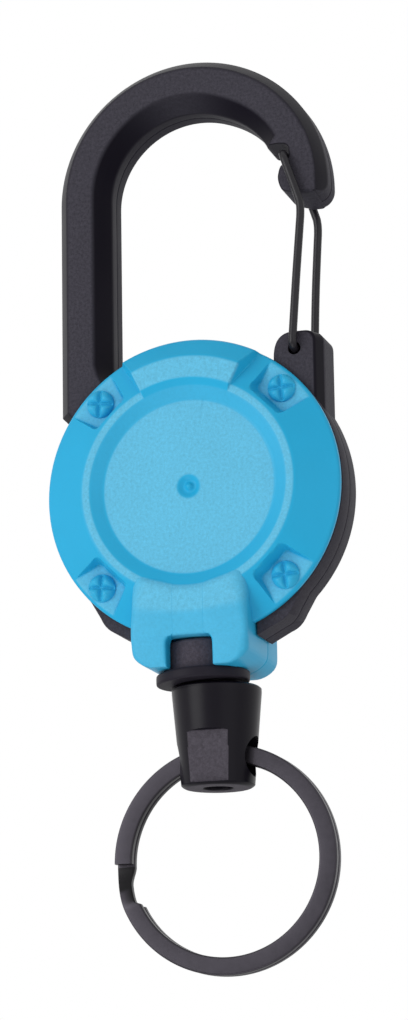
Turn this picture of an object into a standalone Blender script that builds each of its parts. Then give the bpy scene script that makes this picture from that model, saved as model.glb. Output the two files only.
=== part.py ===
"""Retractable key reel with a carabiner frame, wire gate, swivel barrel and split ring.

Metres, +Z up, X to the right as seen from the front, front face towards -Y.
The part hangs from its carabiner: the world origin is the crown inside the hook.
Meshes are drawn around the reel's axis, which is the Y line through REEL_CENTRE.
Y = 0 is the middle plane of the carabiner frame.
"""
import math

import bmesh
import bpy
from mathutils import Matrix, Vector

# General fits
TOUCH_GAP = 0.0003        # between pieces that rest on each other
RUN_GAP = 0.0003          # radial clearance of turning and sliding pieces
OVERRUN = 0.002           # how far a cutter runs past the surface it opens
MERGE = 0.000001
WELD = 0.000004

# Reel body: both covers and the ring of the frame between them
COVER_RADIUS = 0.0212
COVER_WALL = 0.0014
RING_PROUD = 0.0001       # the frame's ring stands this far outside the covers
RING_BAND = 0.0052        # radial width of the frame's ring
SPIGOT_WALL = 0.0010
RECESS_DEPTH = 0.0067     # middle plane to the sunk round panel in the front
RECESS_SLOPE = 0.0018     # radial width of the slope between panel and band
BAND_DEPTH = 0.0076       # middle plane to the narrow raised band round the panel
BAND_WIDTH = 0.0011
FRONT_SLOPE = 0.0059      # radial width of the slope from the band out to the rim
RIM_EDGE = 0.0007         # height of the covers' outer edge
BROW_DEPTH = 0.0081       # middle plane to the raised segment at the top
BROW_SLOPE = 0.0028       # radial width of the slope from the brow out to the rim
BROW_HALF_ANGLE = math.radians(26)
BROW_EDGE = 0.0009        # height of the brow's outer edge
REAR_DEPTH = 0.0081       # middle plane to the flat back
REAR_SLOPE = 0.0060       # radial width of the slope from the flat back to the rim
WALL_ROOT = 0.0010        # overlap of parts that are fused into one moulding
DIMPLE_RADIUS = 0.0017
DIMPLE_DEPTH = 0.00035
NUB_RADIUS = 0.0005

# Nose below the reel, where the cord comes out
NOSE_HALF_WIDTH = 0.0084
NOSE_DEPTH = 0.0082
NOSE_LENGTH = 0.0041      # how far it reaches below the covers' edge
NOSE_CORNER = 0.0032
NOSE_FALL = 0.0005        # how far the face leans back over its lower part
NOSE_LEAN_HEIGHT = 0.0061 # height of that lower part
NOSE_FILLET = 0.0009
NOSE_FRONT_SHARES = ((0.0, 0.0), (0.3, 0.05), (0.7, 0.3), (1.0, 1.0))
NOSE_SEAM = 0.0025        # the two halves meet this far behind the middle plane
NOSE_SIDE_GAP = 0.0004    # between the nose and the ends of the frame's ring
SLOT_WIDTH = 0.0070
SLOT_HEIGHT = 0.0042
SLOT_CORNER = 0.0009
CORD_MOUTH = 0.0070       # radius of the cord's way where it enters the nose
LEAD_BEND = 0.0036        # the cord turns straight down this far below the cavity
LEAD_SHARES = (0.45, 0.85, 0.5)
MOUTH_SHARES = (0.7, 0.6)
MOUTH_FLAT_SHARE = 0.6    # the mouth's depth as a share of its width

# Screw places, with moulded heads in front and real screws from behind
SCREW_RADIUS = 0.0008
SCREW_HEAD_RADIUS = 0.0019
SCREW_HEAD_HEIGHT = 0.0011
SCREW_TOP_SHARE = 0.7
SEAT_SKIN = 0.0009        # plastic between a counterbore's floor and the frame
SCREW_TIP_GAP = 0.0007    # the screws end this far inside the front bosses
CROSS_LENGTH = 0.0022
CROSS_WIDTH = 0.0005
CROSS_DEPTH = 0.0005
PILOT_GAP = 0.0002
BOSS_RADIUS = 0.0015
POCKET_SKIN = 0.0010      # plastic between a pocket's floor and the frame
POCKET_LENGTH = 0.0050    # from the covers' edge inward
POCKET_WIDTH = 0.0056
POCKET_FLARE = math.radians(18)
POCKET_CORNER = 0.0008
MOULDED_HEAD_RADIUS = 0.0019
MOULDED_HEAD_HEIGHT = 0.0009
DOME_SHARES = (0.7, 0.4)

# Carabiner frame
FRAME_HALF = 0.0038       # half its thickness
RING_STRAIGHT = math.radians(44)
RING_CORNER_RISE = 0.0025 # where the ring's straight runs end, above its lowest line
RING_CORNER_OUT = 0.0042  # and outside the opening for the nose
RING_CORNER_ROUND = 0.0011
RING_FOOT_DROP = 0.0002
HOOK_REACH = 0.0346       # covers' edge up to the crown inside the hook
HOOK_INSET = 0.00125      # the hook is this much narrower at each side than the covers
HOOK_SHIFT = 0.00055      # hook's middle, left of the reel's axis
HOOK_WIDTH = 0.0079
HOOK_CROWN_WIDTH = 0.0083
HOOK_BEVEL = 0.0016       # width of the long bevels on the front edges
HOOK_BEVEL_DEPTH = 0.0032
HOOK_BACK_BEVEL = 0.0006
LEG_FOOT = 0.0128         # lower end of the straight leg, above the axis
LEG_END = 0.0070          # where the leg has run into the ring, above the axis
TIP_DROP = 0.0143         # crown down to the lower end of the hook's tip
TIP_SLANT_WIDTH = 0.0037  # the tip's inner lower corner is cut off on the slant
TIP_SLANT_HEIGHT = 0.0034
TIP_SLANT_SHARES = (0.35, 0.72)
TIP_CORNER = 0.0018
TIP_BEVEL = 0.0008
NOTCH_DROP = 0.0080       # crown down to the wire's notch in the tip
NOTCH_HALF = 0.0014
NOTCH_DEPTH = 0.0032
EAR_WIDTH = 0.0067
EAR_INSET = 0.0008        # the ear's outer side, inside the hook's outer side
EAR_RISE = 0.0005         # the ear's top, above the covers' edge
EAR_BEVEL = 0.0009
EAR_BEVEL_DEPTH = 0.0019
EAR_ROUND = 0.0024        # rounding of the ear's inner top corner
EAR_ROUND_OUT = 0.0022
PIVOT_INSET = 0.0040      # front hole for the wire, in from the ear's outer side
PIVOT_DROP = 0.0025       # and down from the ear's top
PIVOT_SPLIT = 0.0008      # the rear hole lies this far outside the front one
PIVOT_DEEP = 0.0022       # how deep the wire's ends sit in the ear

# Wire gate
WIRE_RADIUS = 0.00058
WIRE_LEAN = 0.0018        # how far the strands lean outward at the knee
WIRE_KNEE_DROP = 0.0019   # the knee, below the end of the hook's tip
WIRE_BEND = 0.0011
WIRE_SHARES = (0.13, 0.5, 0.9)
WIRE_SEAT = 0.0009        # middle of the wire in the notch, out from its floor

# Winding and the mechanism inside
CORD_RADIUS = 0.0005
CORD_GAP = 0.00045
SPOOL_SIDE_GAP = 0.0004   # between the spool's flanges and the cavity
CHANNEL_HEIGHT = 0.0032   # how deep the winding's channel is
LAYER_TURNS = 3.5
CLIMB_TURNS = 0.5         # the cord climbs to the second layer over this
TURN_BACK_SHARE = 0.125   # of a pitch, how far the cord runs on while it climbs
SPOOL_FLANGE = 0.0007
DRUM_WALL = 0.0012
HUB_WALL = 0.0013
AXLE_RADIUS = 0.0016
AXLE_SEAT = 0.0007        # depth of the axle's seats in the covers
WASHER_THICK = 0.0004
WASHER_RADIUS = 0.0036
PLATE_THICK = 0.0003
SPRING_RIB = 0.0009
SPRING_THICK = 0.00025
SPRING_TURNS = 7

# Docking plug, barrel and ring
PLUG_Y = -0.0010          # the cord leaves the reel in this plane
PLUG_NECK_RADIUS = 0.0045
PLUG_NECK_LENGTH = 0.0043
PLUG_DISC_RADIUS = 0.00675
PLUG_DISC = 0.0017
PLUG_EDGE = 0.0004
PLUG_FLARE_RADIUS = 0.0026
BARREL_X = 0.0014         # play in the cord lets the barrel hang off the plug's axis
BARREL_Y = 0.0008
BARREL_TOP_RADIUS = 0.00625
BARREL_BOTTOM_RADIUS = 0.0051
BARREL_LENGTH = 0.0137
BARREL_EDGE = 0.0005
BARREL_FUNNEL = 0.0032
BARREL_FUNNEL_DEPTH = 0.0016
SHOULDER = 0.0007
FERRULE_RADIUS = 0.0014
FERRULE_LENGTH = 0.0024
BARREL_FLAT_WIDTH = 0.0056
BARREL_FLAT_HEIGHT = 0.0074
BARREL_FOOT_HOLE = 0.0021
CROSS_HOLE_RADIUS = 0.0027
CROSS_HOLE_DROP = 0.0094  # below the barrel's top
KEY_RING_X = 0.0024       # the ring lies off the barrel's axis in its hole
KEY_RING_Y = 0.0010
KEY_RING_RADIUS = 0.0160
KEY_RING_BAND = 0.0025
KEY_RING_COIL = 0.00135
KEY_RING_COIL_GAP = 0.0001
KEY_RING_EDGE = 0.0003
KEY_RING_JOG = math.radians(24)
KEY_RING_CLEAR = math.radians(1)
KEY_RING_JOG_PLACE = math.radians(196)

# Facets
FINE_STEPS = 64
COARSE_STEPS = 32
SMALL_STEPS = 16

# Covers and frame ring, worked out from the sizes
FLANGE_FACE = FRAME_HALF + TOUCH_GAP
RING_RADIUS = COVER_RADIUS + RING_PROUD
RING_BORE = RING_RADIUS - RING_BAND
SPIGOT_RADIUS = RING_BORE - TOUCH_GAP
CAVITY_RADIUS = SPIGOT_RADIUS - SPIGOT_WALL
BAND_OUTER = COVER_RADIUS - FRONT_SLOPE
BAND_INNER = BAND_OUTER - BAND_WIDTH
RECESS_RADIUS = BAND_INNER - RECESS_SLOPE
BROW_OUTER = COVER_RADIUS - BROW_SLOPE
REAR_FLAT_RADIUS = COVER_RADIUS - REAR_SLOPE
PANEL_INSIDE = RECESS_DEPTH - COVER_WALL
REAR_INSIDE = REAR_DEPTH - COVER_WALL
NOSE_BOTTOM = COVER_RADIUS + NOSE_LENGTH
NOSE_BREAK = NOSE_BOTTOM - NOSE_LEAN_HEIGHT
SLOT_TOP = NOSE_BOTTOM - SLOT_HEIGHT
POCKET_FLOOR = FLANGE_FACE + POCKET_SKIN
POCKET_INNER = COVER_RADIUS - POCKET_LENGTH
SCREW_SEAT = FLANGE_FACE + SEAT_SKIN
SCREW_TIP = FLANGE_FACE - SCREW_TIP_GAP
SCREW_PLACE = (RING_BORE + RING_RADIUS) / 2 * math.sin(math.pi / 4)
SCREW_CORNERS = [(-SCREW_PLACE, SCREW_PLACE), (SCREW_PLACE, SCREW_PLACE),
                 (-SCREW_PLACE, -SCREW_PLACE), (SCREW_PLACE, -SCREW_PLACE)]
RING_OPENING = NOSE_HALF_WIDTH + NOSE_SIDE_GAP
RING_CORNER = RING_RADIUS - RING_CORNER_RISE
RING_FOOT = RING_RADIUS + RING_FOOT_DROP

# Hook, ear and gate, worked out from the sizes
HOOK_OUTER = COVER_RADIUS - HOOK_INSET
HOOK_CROWN = COVER_RADIUS + HOOK_REACH
REEL_CENTRE = Vector((0.0, 0.0, -HOOK_CROWN))
HOOK_CENTRE_Z = HOOK_CROWN + HOOK_CROWN_WIDTH - HOOK_OUTER
HOOK_INNER = HOOK_OUTER - HOOK_WIDTH
TIP_END = HOOK_CROWN - TIP_DROP
NOTCH_HEIGHT = HOOK_CROWN - NOTCH_DROP
NOTCH_DEEP = HOOK_INNER - HOOK_SHIFT + NOTCH_DEPTH
EAR_OUTER = HOOK_OUTER - HOOK_SHIFT - EAR_INSET
EAR_INNER = EAR_OUTER - EAR_WIDTH
EAR_TOP = COVER_RADIUS + EAR_RISE
PIVOT_X = EAR_OUTER - PIVOT_INSET
PIVOT_Z = EAR_TOP - PIVOT_DROP
WIRE_KNEE_X = PIVOT_X + WIRE_LEAN
WIRE_KNEE = TIP_END - WIRE_KNEE_DROP
WIRE_U = NOTCH_DEEP - WIRE_SEAT

# Mechanism, plug and barrel, worked out from the sizes
SPOOL_FLANGE_RADIUS = CAVITY_RADIUS - SPOOL_SIDE_GAP
DRUM_RADIUS = SPOOL_FLANGE_RADIUS - CHANNEL_HEIGHT
SPOOL_FRONT = PANEL_INSIDE - WASHER_THICK - 2 * TOUCH_GAP
CORD_PITCH = 2 * CORD_RADIUS + CORD_GAP
LAYER_1 = DRUM_RADIUS + RUN_GAP + CORD_RADIUS
LAYER_2 = LAYER_1 + CORD_PITCH
CHANNEL_FRONT = -SPOOL_FRONT + SPOOL_FLANGE
WINDING_WIDTH = (LAYER_TURNS + TURN_BACK_SHARE) * CORD_PITCH + 2 * CORD_RADIUS
CHANNEL_BACK = CHANNEL_FRONT + WINDING_WIDTH + 2 * RUN_GAP
SPOOL_BACK = CHANNEL_BACK + SPOOL_FLANGE
PLATE_FRONT = SPOOL_BACK + TOUCH_GAP
SPRING_FRONT = PLATE_FRONT + PLATE_THICK + TOUCH_GAP
SPRING_BACK = REAR_INSIDE - TOUCH_GAP
HUB_BORE = AXLE_RADIUS + RUN_GAP
HUB_RADIUS = HUB_BORE + HUB_WALL
SPRING_OUTER = SPOOL_FLANGE_RADIUS - SPRING_RIB
PLUG_DISC_TOP = -NOSE_BOTTOM - TOUCH_GAP
PLUG_DISC_FOOT = PLUG_DISC_TOP - PLUG_DISC
PLUG_TOP = PLUG_DISC_TOP + PLUG_NECK_LENGTH
NECK_BORE = PLUG_NECK_RADIUS + RUN_GAP
BARREL_TOP = PLUG_DISC_FOOT - TOUCH_GAP
BARREL_FOOT = BARREL_TOP - BARREL_LENGTH
CROSS_HOLE_Z = BARREL_TOP - CROSS_HOLE_DROP
SHOULDER_Z = BARREL_TOP - BARREL_FUNNEL_DEPTH
FERRULE_TOP = SHOULDER_Z - SHOULDER - TOUCH_GAP
KEY_RING_THICK = 2 * KEY_RING_COIL + KEY_RING_COIL_GAP


def clear_scene():
    for old in list(bpy.data.objects):
        bpy.data.objects.remove(old, do_unlink=True)


def material(name, colour, roughness, metallic=0.0):
    mat = bpy.data.materials.new(name)
    mat.use_nodes = True
    shader = mat.node_tree.nodes["Principled BSDF"]
    shader.inputs["Base Color"].default_value = (*colour, 1.0)
    shader.inputs["Roughness"].default_value = roughness
    shader.inputs["Metallic"].default_value = metallic
    return mat


def add_object(name, bm, mat=None, origin=(0.0, 0.0, 0.0), sharp=30):
    """Puts a mesh drawn around the reel's axis into the scene, with its own origin."""
    bmesh.ops.recalc_face_normals(bm, faces=bm.faces)
    origin = Vector(origin)
    bmesh.ops.translate(bm, verts=bm.verts, vec=-origin)
    mesh = bpy.data.meshes.new(name)
    bm.to_mesh(mesh)
    bm.free()
    mesh.shade_smooth()
    mesh.set_sharp_from_angle(angle=math.radians(sharp))
    obj = bpy.data.objects.new(name, mesh)
    if mat:
        mesh.materials.append(mat)
    obj.location = origin + REEL_CENTRE
    bpy.context.scene.collection.objects.link(obj)
    return obj


def shape(target, tool_meshes, operation, label):
    """Joins tool solids to an object, or cuts them out of it, in one live Boolean."""
    tools = bpy.data.collections.new(target.name + "_" + label)
    bpy.context.scene.collection.children.link(tools)
    for number, tool_bm in enumerate(tool_meshes, start=1):
        tool = add_object(f"{target.name}_{label}_{number}", tool_bm)
        bpy.context.scene.collection.objects.unlink(tool)
        tools.objects.link(tool)
        tool.hide_render = True
        tool.display_type = 'WIRE'
    modifier = target.modifiers.new(label, 'BOOLEAN')
    modifier.operation = operation
    modifier.solver = 'EXACT'
    modifier.operand_type = 'COLLECTION'
    modifier.collection = tools
    weld = target.modifiers.new(label + "_weld", 'WELD')
    weld.merge_threshold = WELD


def closed_loop(bm, points):
    verts = [bm.verts.new(point) for point in points]
    edges = [bm.edges.new((verts[i], verts[(i + 1) % len(verts)])) for i in range(len(verts))]
    return verts, edges


def turned(profile, steps, axis_point=(0.0, 0.0, 0.0), axis='Y', step_share=0.0):
    """A closed (radius, height) profile spun a full turn about an axis.

    step_share turns the facets by part of a step, so that a cutter's edges don't
    fall on the edges of what it cuts.
    """
    bm = bmesh.new()
    verts, edges = closed_loop(bm, [(radius, height, 0.0) for radius, height in profile])
    bmesh.ops.spin(bm, geom=verts + edges, cent=(0, 0, 0), axis=(0, 1, 0),
                   angle=2 * math.pi, steps=steps, use_merge=True)
    bmesh.ops.remove_doubles(bm, verts=bm.verts, dist=MERGE)
    bmesh.ops.dissolve_degenerate(bm, edges=bm.edges, dist=MERGE)
    loose = [edge for edge in bm.edges if not edge.link_faces]
    bmesh.ops.delete(bm, geom=loose, context='EDGES')
    bmesh.ops.rotate(bm, verts=bm.verts,
                     matrix=Matrix.Rotation(2 * math.pi * step_share / steps, 3, 'Y'))
    if axis == 'Z':
        bmesh.ops.rotate(bm, verts=bm.verts, matrix=Matrix.Rotation(math.pi / 2, 3, 'X'))
    if axis == 'X':
        bmesh.ops.rotate(bm, verts=bm.verts, matrix=Matrix.Rotation(math.pi / 2, 3, 'Z'))
    bmesh.ops.translate(bm, verts=bm.verts, vec=axis_point)
    return bm


def turned_wedge(profile, half_angle, steps):
    """A (radius, Y) profile spun about Y, from one side of straight up to the other."""
    bm = bmesh.new()
    verts, _ = closed_loop(bm, [(0.0, y, radius) for radius, y in profile])
    face = bm.faces.new(verts)
    bmesh.ops.rotate(bm, verts=bm.verts, matrix=Matrix.Rotation(-half_angle, 3, 'Y'))
    bmesh.ops.spin(bm, geom=[face], cent=(0, 0, 0), axis=(0, 1, 0),
                   angle=2 * half_angle, steps=steps)
    return bm


def extruded(outline, front, back):
    """An outline in X and Z, carried along Y."""
    bm = bmesh.new()
    face = bm.faces.new([bm.verts.new((x, front, z)) for x, z in outline])
    result = bmesh.ops.extrude_face_region(bm, geom=[face])
    moved = [item for item in result["geom"] if isinstance(item, bmesh.types.BMVert)]
    bmesh.ops.translate(bm, verts=moved, vec=(0.0, back - front, 0.0))
    return bm


def rod(radius, start, end, steps=SMALL_STEPS, end_radius=None):
    """A round bar or cone between two points."""
    start, end = Vector(start), Vector(end)
    along = end - start
    bm = bmesh.new()
    bmesh.ops.create_cone(bm, cap_ends=True, segments=steps, radius1=radius,
                          radius2=radius if end_radius is None else end_radius,
                          depth=along.length)
    turn = Vector((0, 0, 1)).rotation_difference(along).to_matrix()
    bmesh.ops.rotate(bm, verts=bm.verts, matrix=turn)
    bmesh.ops.translate(bm, verts=bm.verts, vec=(start + end) / 2)
    return bm


def box(low, high):
    bm = bmesh.new()
    bmesh.ops.create_cube(bm, size=1.0)
    low, high = Vector(low), Vector(high)
    bmesh.ops.scale(bm, verts=bm.verts, vec=high - low)
    bmesh.ops.translate(bm, verts=bm.verts, vec=(low + high) / 2)
    return bm


def arc(centre, radius, start, end, steps):
    """Points along an arc in a plane, angles in radians."""
    turn = (end - start) / steps
    return [(centre[0] + radius * math.cos(start + turn * i),
             centre[1] + radius * math.sin(start + turn * i)) for i in range(steps + 1)]


def loft(sections):
    """Rings of points bridged one after another into a closed solid."""
    bm = bmesh.new()
    rings = [closed_loop(bm, section) for section in sections]
    for (_, lower), (_, upper) in zip(rings, rings[1:]):
        bmesh.ops.bridge_loops(bm, edges=lower + upper)
    bm.faces.new(rings[0][0])
    bm.faces.new(rings[-1][0])
    return bm


def tube(name, points, radius, mat, origin=(0.0, 0.0, 0.0), sides_resolution=2):
    """A curve object with a round bevel and filled caps, through the given points."""
    curve = bpy.data.curves.new(name, 'CURVE')
    curve.dimensions = '3D'
    curve.bevel_depth = radius
    curve.bevel_resolution = sides_resolution
    curve.use_fill_caps = True
    curve.twist_mode = 'MINIMUM'
    spline = curve.splines.new('POLY')
    spline.points.add(len(points) - 1)
    for place, point in zip(spline.points, points):
        place.co = (*(Vector(point) - Vector(origin)), 1.0)
    curve.materials.append(mat)
    obj = bpy.data.objects.new(name, curve)
    obj.location = Vector(origin) + REEL_CENTRE
    bpy.context.scene.collection.objects.link(obj)
    return obj


def smooth_path(points, count):
    """Points along a Catmull-Rom curve through a short list of chosen points."""
    points = [Vector(point) for point in points]
    ends = [2 * points[0] - points[1]] + points + [2 * points[-1] - points[-2]]
    path = []
    for i in range(len(points) - 1):
        a, b, c, d = ends[i:i + 4]
        for step in range(count):
            t = step / count
            path.append(0.5 * ((2 * b) + (c - a) * t + (2 * a - 5 * b + 4 * c - d) * t * t
                               + (3 * b - a - 3 * c + d) * t ** 3))
    return path + [points[-1]]


def rounded(outline, radii, steps=4):
    """An outline whose corners are rounded, one radius for each corner."""
    result = []
    for i, radius in enumerate(radii):
        corner = Vector(outline[i])
        before = (Vector(outline[i - 1]) - corner).normalized()
        after = (Vector(outline[(i + 1) % len(outline)]) - corner).normalized()
        if radius == 0:
            result.append(tuple(corner))
            continue
        half = before.angle(after) / 2
        reach = radius / math.tan(half)
        centre = corner + (before + after).normalized() * radius / math.sin(half)
        first = corner + before * reach - centre
        last = corner + after * reach - centre
        for step in range(steps + 1):
            spoke = first.lerp(last, step / steps).normalized() * radius
            result.append(tuple(centre + spoke))
    return result


def nose_outline(top):
    """Outline of the nose in X and Z, with slanted and rounded lower corners."""
    side = NOSE_HALF_WIDTH
    foot = -NOSE_BOTTOM
    corners = [(-side, top), (side, top), (side, foot + NOSE_CORNER), (side - NOSE_CORNER, foot),
               (-side + NOSE_CORNER, foot), (-side, foot + NOSE_CORNER)]
    return rounded(corners, [0, 0] + [NOSE_CORNER / 2] * 4, steps=3)


def nose_block(front, back):
    """The nose as a lofted block: its front edges are rounded by a shrunken first ring."""
    top = -RECESS_RADIUS
    outline = nose_outline(top)
    middle = Vector((0.0, (top - NOSE_BOTTOM) / 2))
    inset_x = (NOSE_HALF_WIDTH - NOSE_FILLET) / NOSE_HALF_WIDTH
    half_height = (NOSE_BOTTOM + top) / 2
    inset_z = (half_height - NOSE_FILLET) / half_height
    sections = []
    for share, depth in NOSE_FRONT_SHARES:
        scale_x = inset_x + (1 - inset_x) * share
        scale_z = inset_z + (1 - inset_z) * share
        ring = []
        for x, z in outline:
            y = front + depth * NOSE_FILLET
            ring.append((x * scale_x, y, middle.y + (z - middle.y) * scale_z))
        sections.append(ring)
    sections.append([(x, back, z) for x, z in outline])
    return loft(sections)


def lean_cutter():
    """Wedge that takes the lower part of the nose's face back by NOSE_FALL."""
    low = -NOSE_BOTTOM - OVERRUN
    slope = NOSE_FALL / (NOSE_BOTTOM - NOSE_BREAK)
    end = -NOSE_DEPTH + slope * (-NOSE_BREAK - low)
    side = NOSE_HALF_WIDTH + OVERRUN
    front = -NOSE_DEPTH - OVERRUN
    profile = [(-NOSE_DEPTH, -NOSE_BREAK), (end, low), (front, low), (front, -NOSE_BREAK)]
    return loft([[(x, y, z) for y, z in profile] for x in (-side, side)])


def pocket_cutter(angle):
    """Flat-floored pocket round a moulded screw head, open to the rim."""
    reach = COVER_RADIUS + OVERRUN - POCKET_INNER
    half = POCKET_WIDTH / 2
    spread = half + reach * math.tan(POCKET_FLARE)
    corners = [(-half, POCKET_INNER), (half, POCKET_INNER),
               (spread, POCKET_INNER + reach), (-spread, POCKET_INNER + reach)]
    outline = rounded(corners, [POCKET_CORNER, POCKET_CORNER, 0, 0], steps=3)
    bm = extruded(outline, -BROW_DEPTH - OVERRUN, -POCKET_FLOOR)
    bmesh.ops.rotate(bm, verts=bm.verts, matrix=Matrix.Rotation(angle, 3, 'Y'))
    return bm


def dome(x, z, base, radius, height, direction, sunk):
    """A shallow round head standing on a floor at Y = base, its foot sunk into the floor."""
    curve_radius = (radius ** 2 + height ** 2) / (2 * height)
    profile = [(0.0, -sunk), (radius, -sunk), (radius, 0.0)]
    for share in DOME_SHARES:
        spoke = radius * share
        profile.append((spoke, height - curve_radius + math.sqrt(curve_radius ** 2 - spoke ** 2)))
    profile.append((0.0, height))
    bm = turned([(r, direction * h) for r, h in profile], SMALL_STEPS)
    bmesh.ops.translate(bm, verts=bm.verts, vec=(x, base, z))
    return bm


def front_cover(blue):
    """Turned shell, raised brow and nose half, four pockets with moulded heads."""
    profile = [(0.0, -BAND_DEPTH), (BAND_OUTER, -BAND_DEPTH),
               (COVER_RADIUS, -FLANGE_FACE - RIM_EDGE), (COVER_RADIUS, -FLANGE_FACE),
               (SPIGOT_RADIUS, -FLANGE_FACE), (SPIGOT_RADIUS, -TOUCH_GAP / 2),
               (0.0, -TOUCH_GAP / 2)]
    cover = add_object("front_cover", turned(profile, FINE_STEPS), blue)
    brow = [(CAVITY_RADIUS - WALL_ROOT, -BROW_DEPTH), (BROW_OUTER, -BROW_DEPTH),
            (COVER_RADIUS, -FLANGE_FACE - BROW_EDGE), (COVER_RADIUS, -FLANGE_FACE - RIM_EDGE / 2),
            (CAVITY_RADIUS - WALL_ROOT, -FLANGE_FACE - RIM_EDGE / 2)]
    fused = [turned_wedge(brow, BROW_HALF_ANGLE, 10),
             nose_block(-NOSE_DEPTH, NOSE_SEAM - TOUCH_GAP / 2)]
    shape(cover, fused, 'UNION', "brow_and_nose")
    slope = (BAND_INNER - RECESS_RADIUS) / (BAND_DEPTH - RECESS_DEPTH)
    past = NOSE_DEPTH + OVERRUN
    cone = [(0.0, -past), (RECESS_RADIUS + (past - RECESS_DEPTH) * slope, -past),
            (RECESS_RADIUS, -RECESS_DEPTH), (DIMPLE_RADIUS, -RECESS_DEPTH),
            (DIMPLE_RADIUS / 2, -RECESS_DEPTH + DIMPLE_DEPTH),
            (NUB_RADIUS, -RECESS_DEPTH + DIMPLE_DEPTH), (NUB_RADIUS / 2, -RECESS_DEPTH),
            (0.0, -RECESS_DEPTH)]
    room = [(0.0, -PANEL_INSIDE - AXLE_SEAT), (HUB_BORE, -PANEL_INSIDE - AXLE_SEAT),
            (HUB_BORE, -PANEL_INSIDE), (CAVITY_RADIUS, -PANEL_INSIDE),
            (CAVITY_RADIUS, NOSE_SEAM + OVERRUN), (0.0, NOSE_SEAM + OVERRUN)]
    slot = rounded([(-SLOT_WIDTH / 2, -SLOT_TOP), (SLOT_WIDTH / 2, -SLOT_TOP),
                    (SLOT_WIDTH / 2, -NOSE_BOTTOM - OVERRUN),
                    (-SLOT_WIDTH / 2, -NOSE_BOTTOM - OVERRUN)],
                   [SLOT_CORNER, SLOT_CORNER, 0, 0])
    pockets = [pocket_cutter(math.atan2(x, z)) for x, z in SCREW_CORNERS]
    cuts = [lean_cutter(), turned(cone, FINE_STEPS, step_share=0.5),
            turned(room, FINE_STEPS, step_share=0.5),
            extruded(slot, -NOSE_DEPTH - OVERRUN, PLUG_Y)] + nose_hollow() + pockets
    shape(cover, cuts, 'DIFFERENCE', "hollows")
    heads = [dome(x, z, -POCKET_FLOOR, MOULDED_HEAD_RADIUS, MOULDED_HEAD_HEIGHT, -1, RIM_EDGE / 2)
             for x, z in SCREW_CORNERS]
    bosses = [rod(BOSS_RADIUS, (x, -FLANGE_FACE - RIM_EDGE / 3, z), (x, -TOUCH_GAP / 2, z))
              for x, z in SCREW_CORNERS]
    shape(cover, heads + bosses, 'UNION', "heads_and_bosses")
    pilot = SCREW_RADIUS + PILOT_GAP
    pilots = [rod(pilot, (x, -SCREW_TIP - TOUCH_GAP, z), (x, OVERRUN, z)) for x, z in SCREW_CORNERS]
    shape(cover, pilots, 'DIFFERENCE', "pilots")
    return cover


def nose_hollow():
    """Room in the nose: a bore for the plug's neck and a flat, flared mouth for the cord."""
    bore_top = PLUG_TOP + TOUCH_GAP
    top = -CAVITY_RADIUS + OVERRUN
    way = CORD_RADIUS + RUN_GAP + TOUCH_GAP
    bore = turned([(0.0, top), (way, top), (way, bore_top), (NECK_BORE, bore_top),
                   (NECK_BORE, -NOSE_BOTTOM - OVERRUN), (0.0, -NOSE_BOTTOM - OVERRUN)],
                  COARSE_STEPS, axis_point=(0.0, PLUG_Y, 0.0), axis='Z')
    flare = (way + LEAD_BEND * MOUTH_SHARES[0], -CAVITY_RADIUS - LEAD_BEND * MOUTH_SHARES[1])
    low = bore_top + 2 * TOUCH_GAP
    mouth = turned([(0.0, top - TOUCH_GAP), (CORD_MOUTH, top - TOUCH_GAP),
                    (CORD_MOUTH, -CAVITY_RADIUS), flare, (way, low), (0.0, low)],
                   COARSE_STEPS, axis='Z', step_share=0.5)
    bmesh.ops.scale(mouth, verts=mouth.verts, vec=(1, MOUTH_FLAT_SHARE, 1))
    bmesh.ops.translate(mouth, verts=mouth.verts, vec=(0.0, PLUG_Y, 0.0))
    return [bore, mouth]


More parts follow.
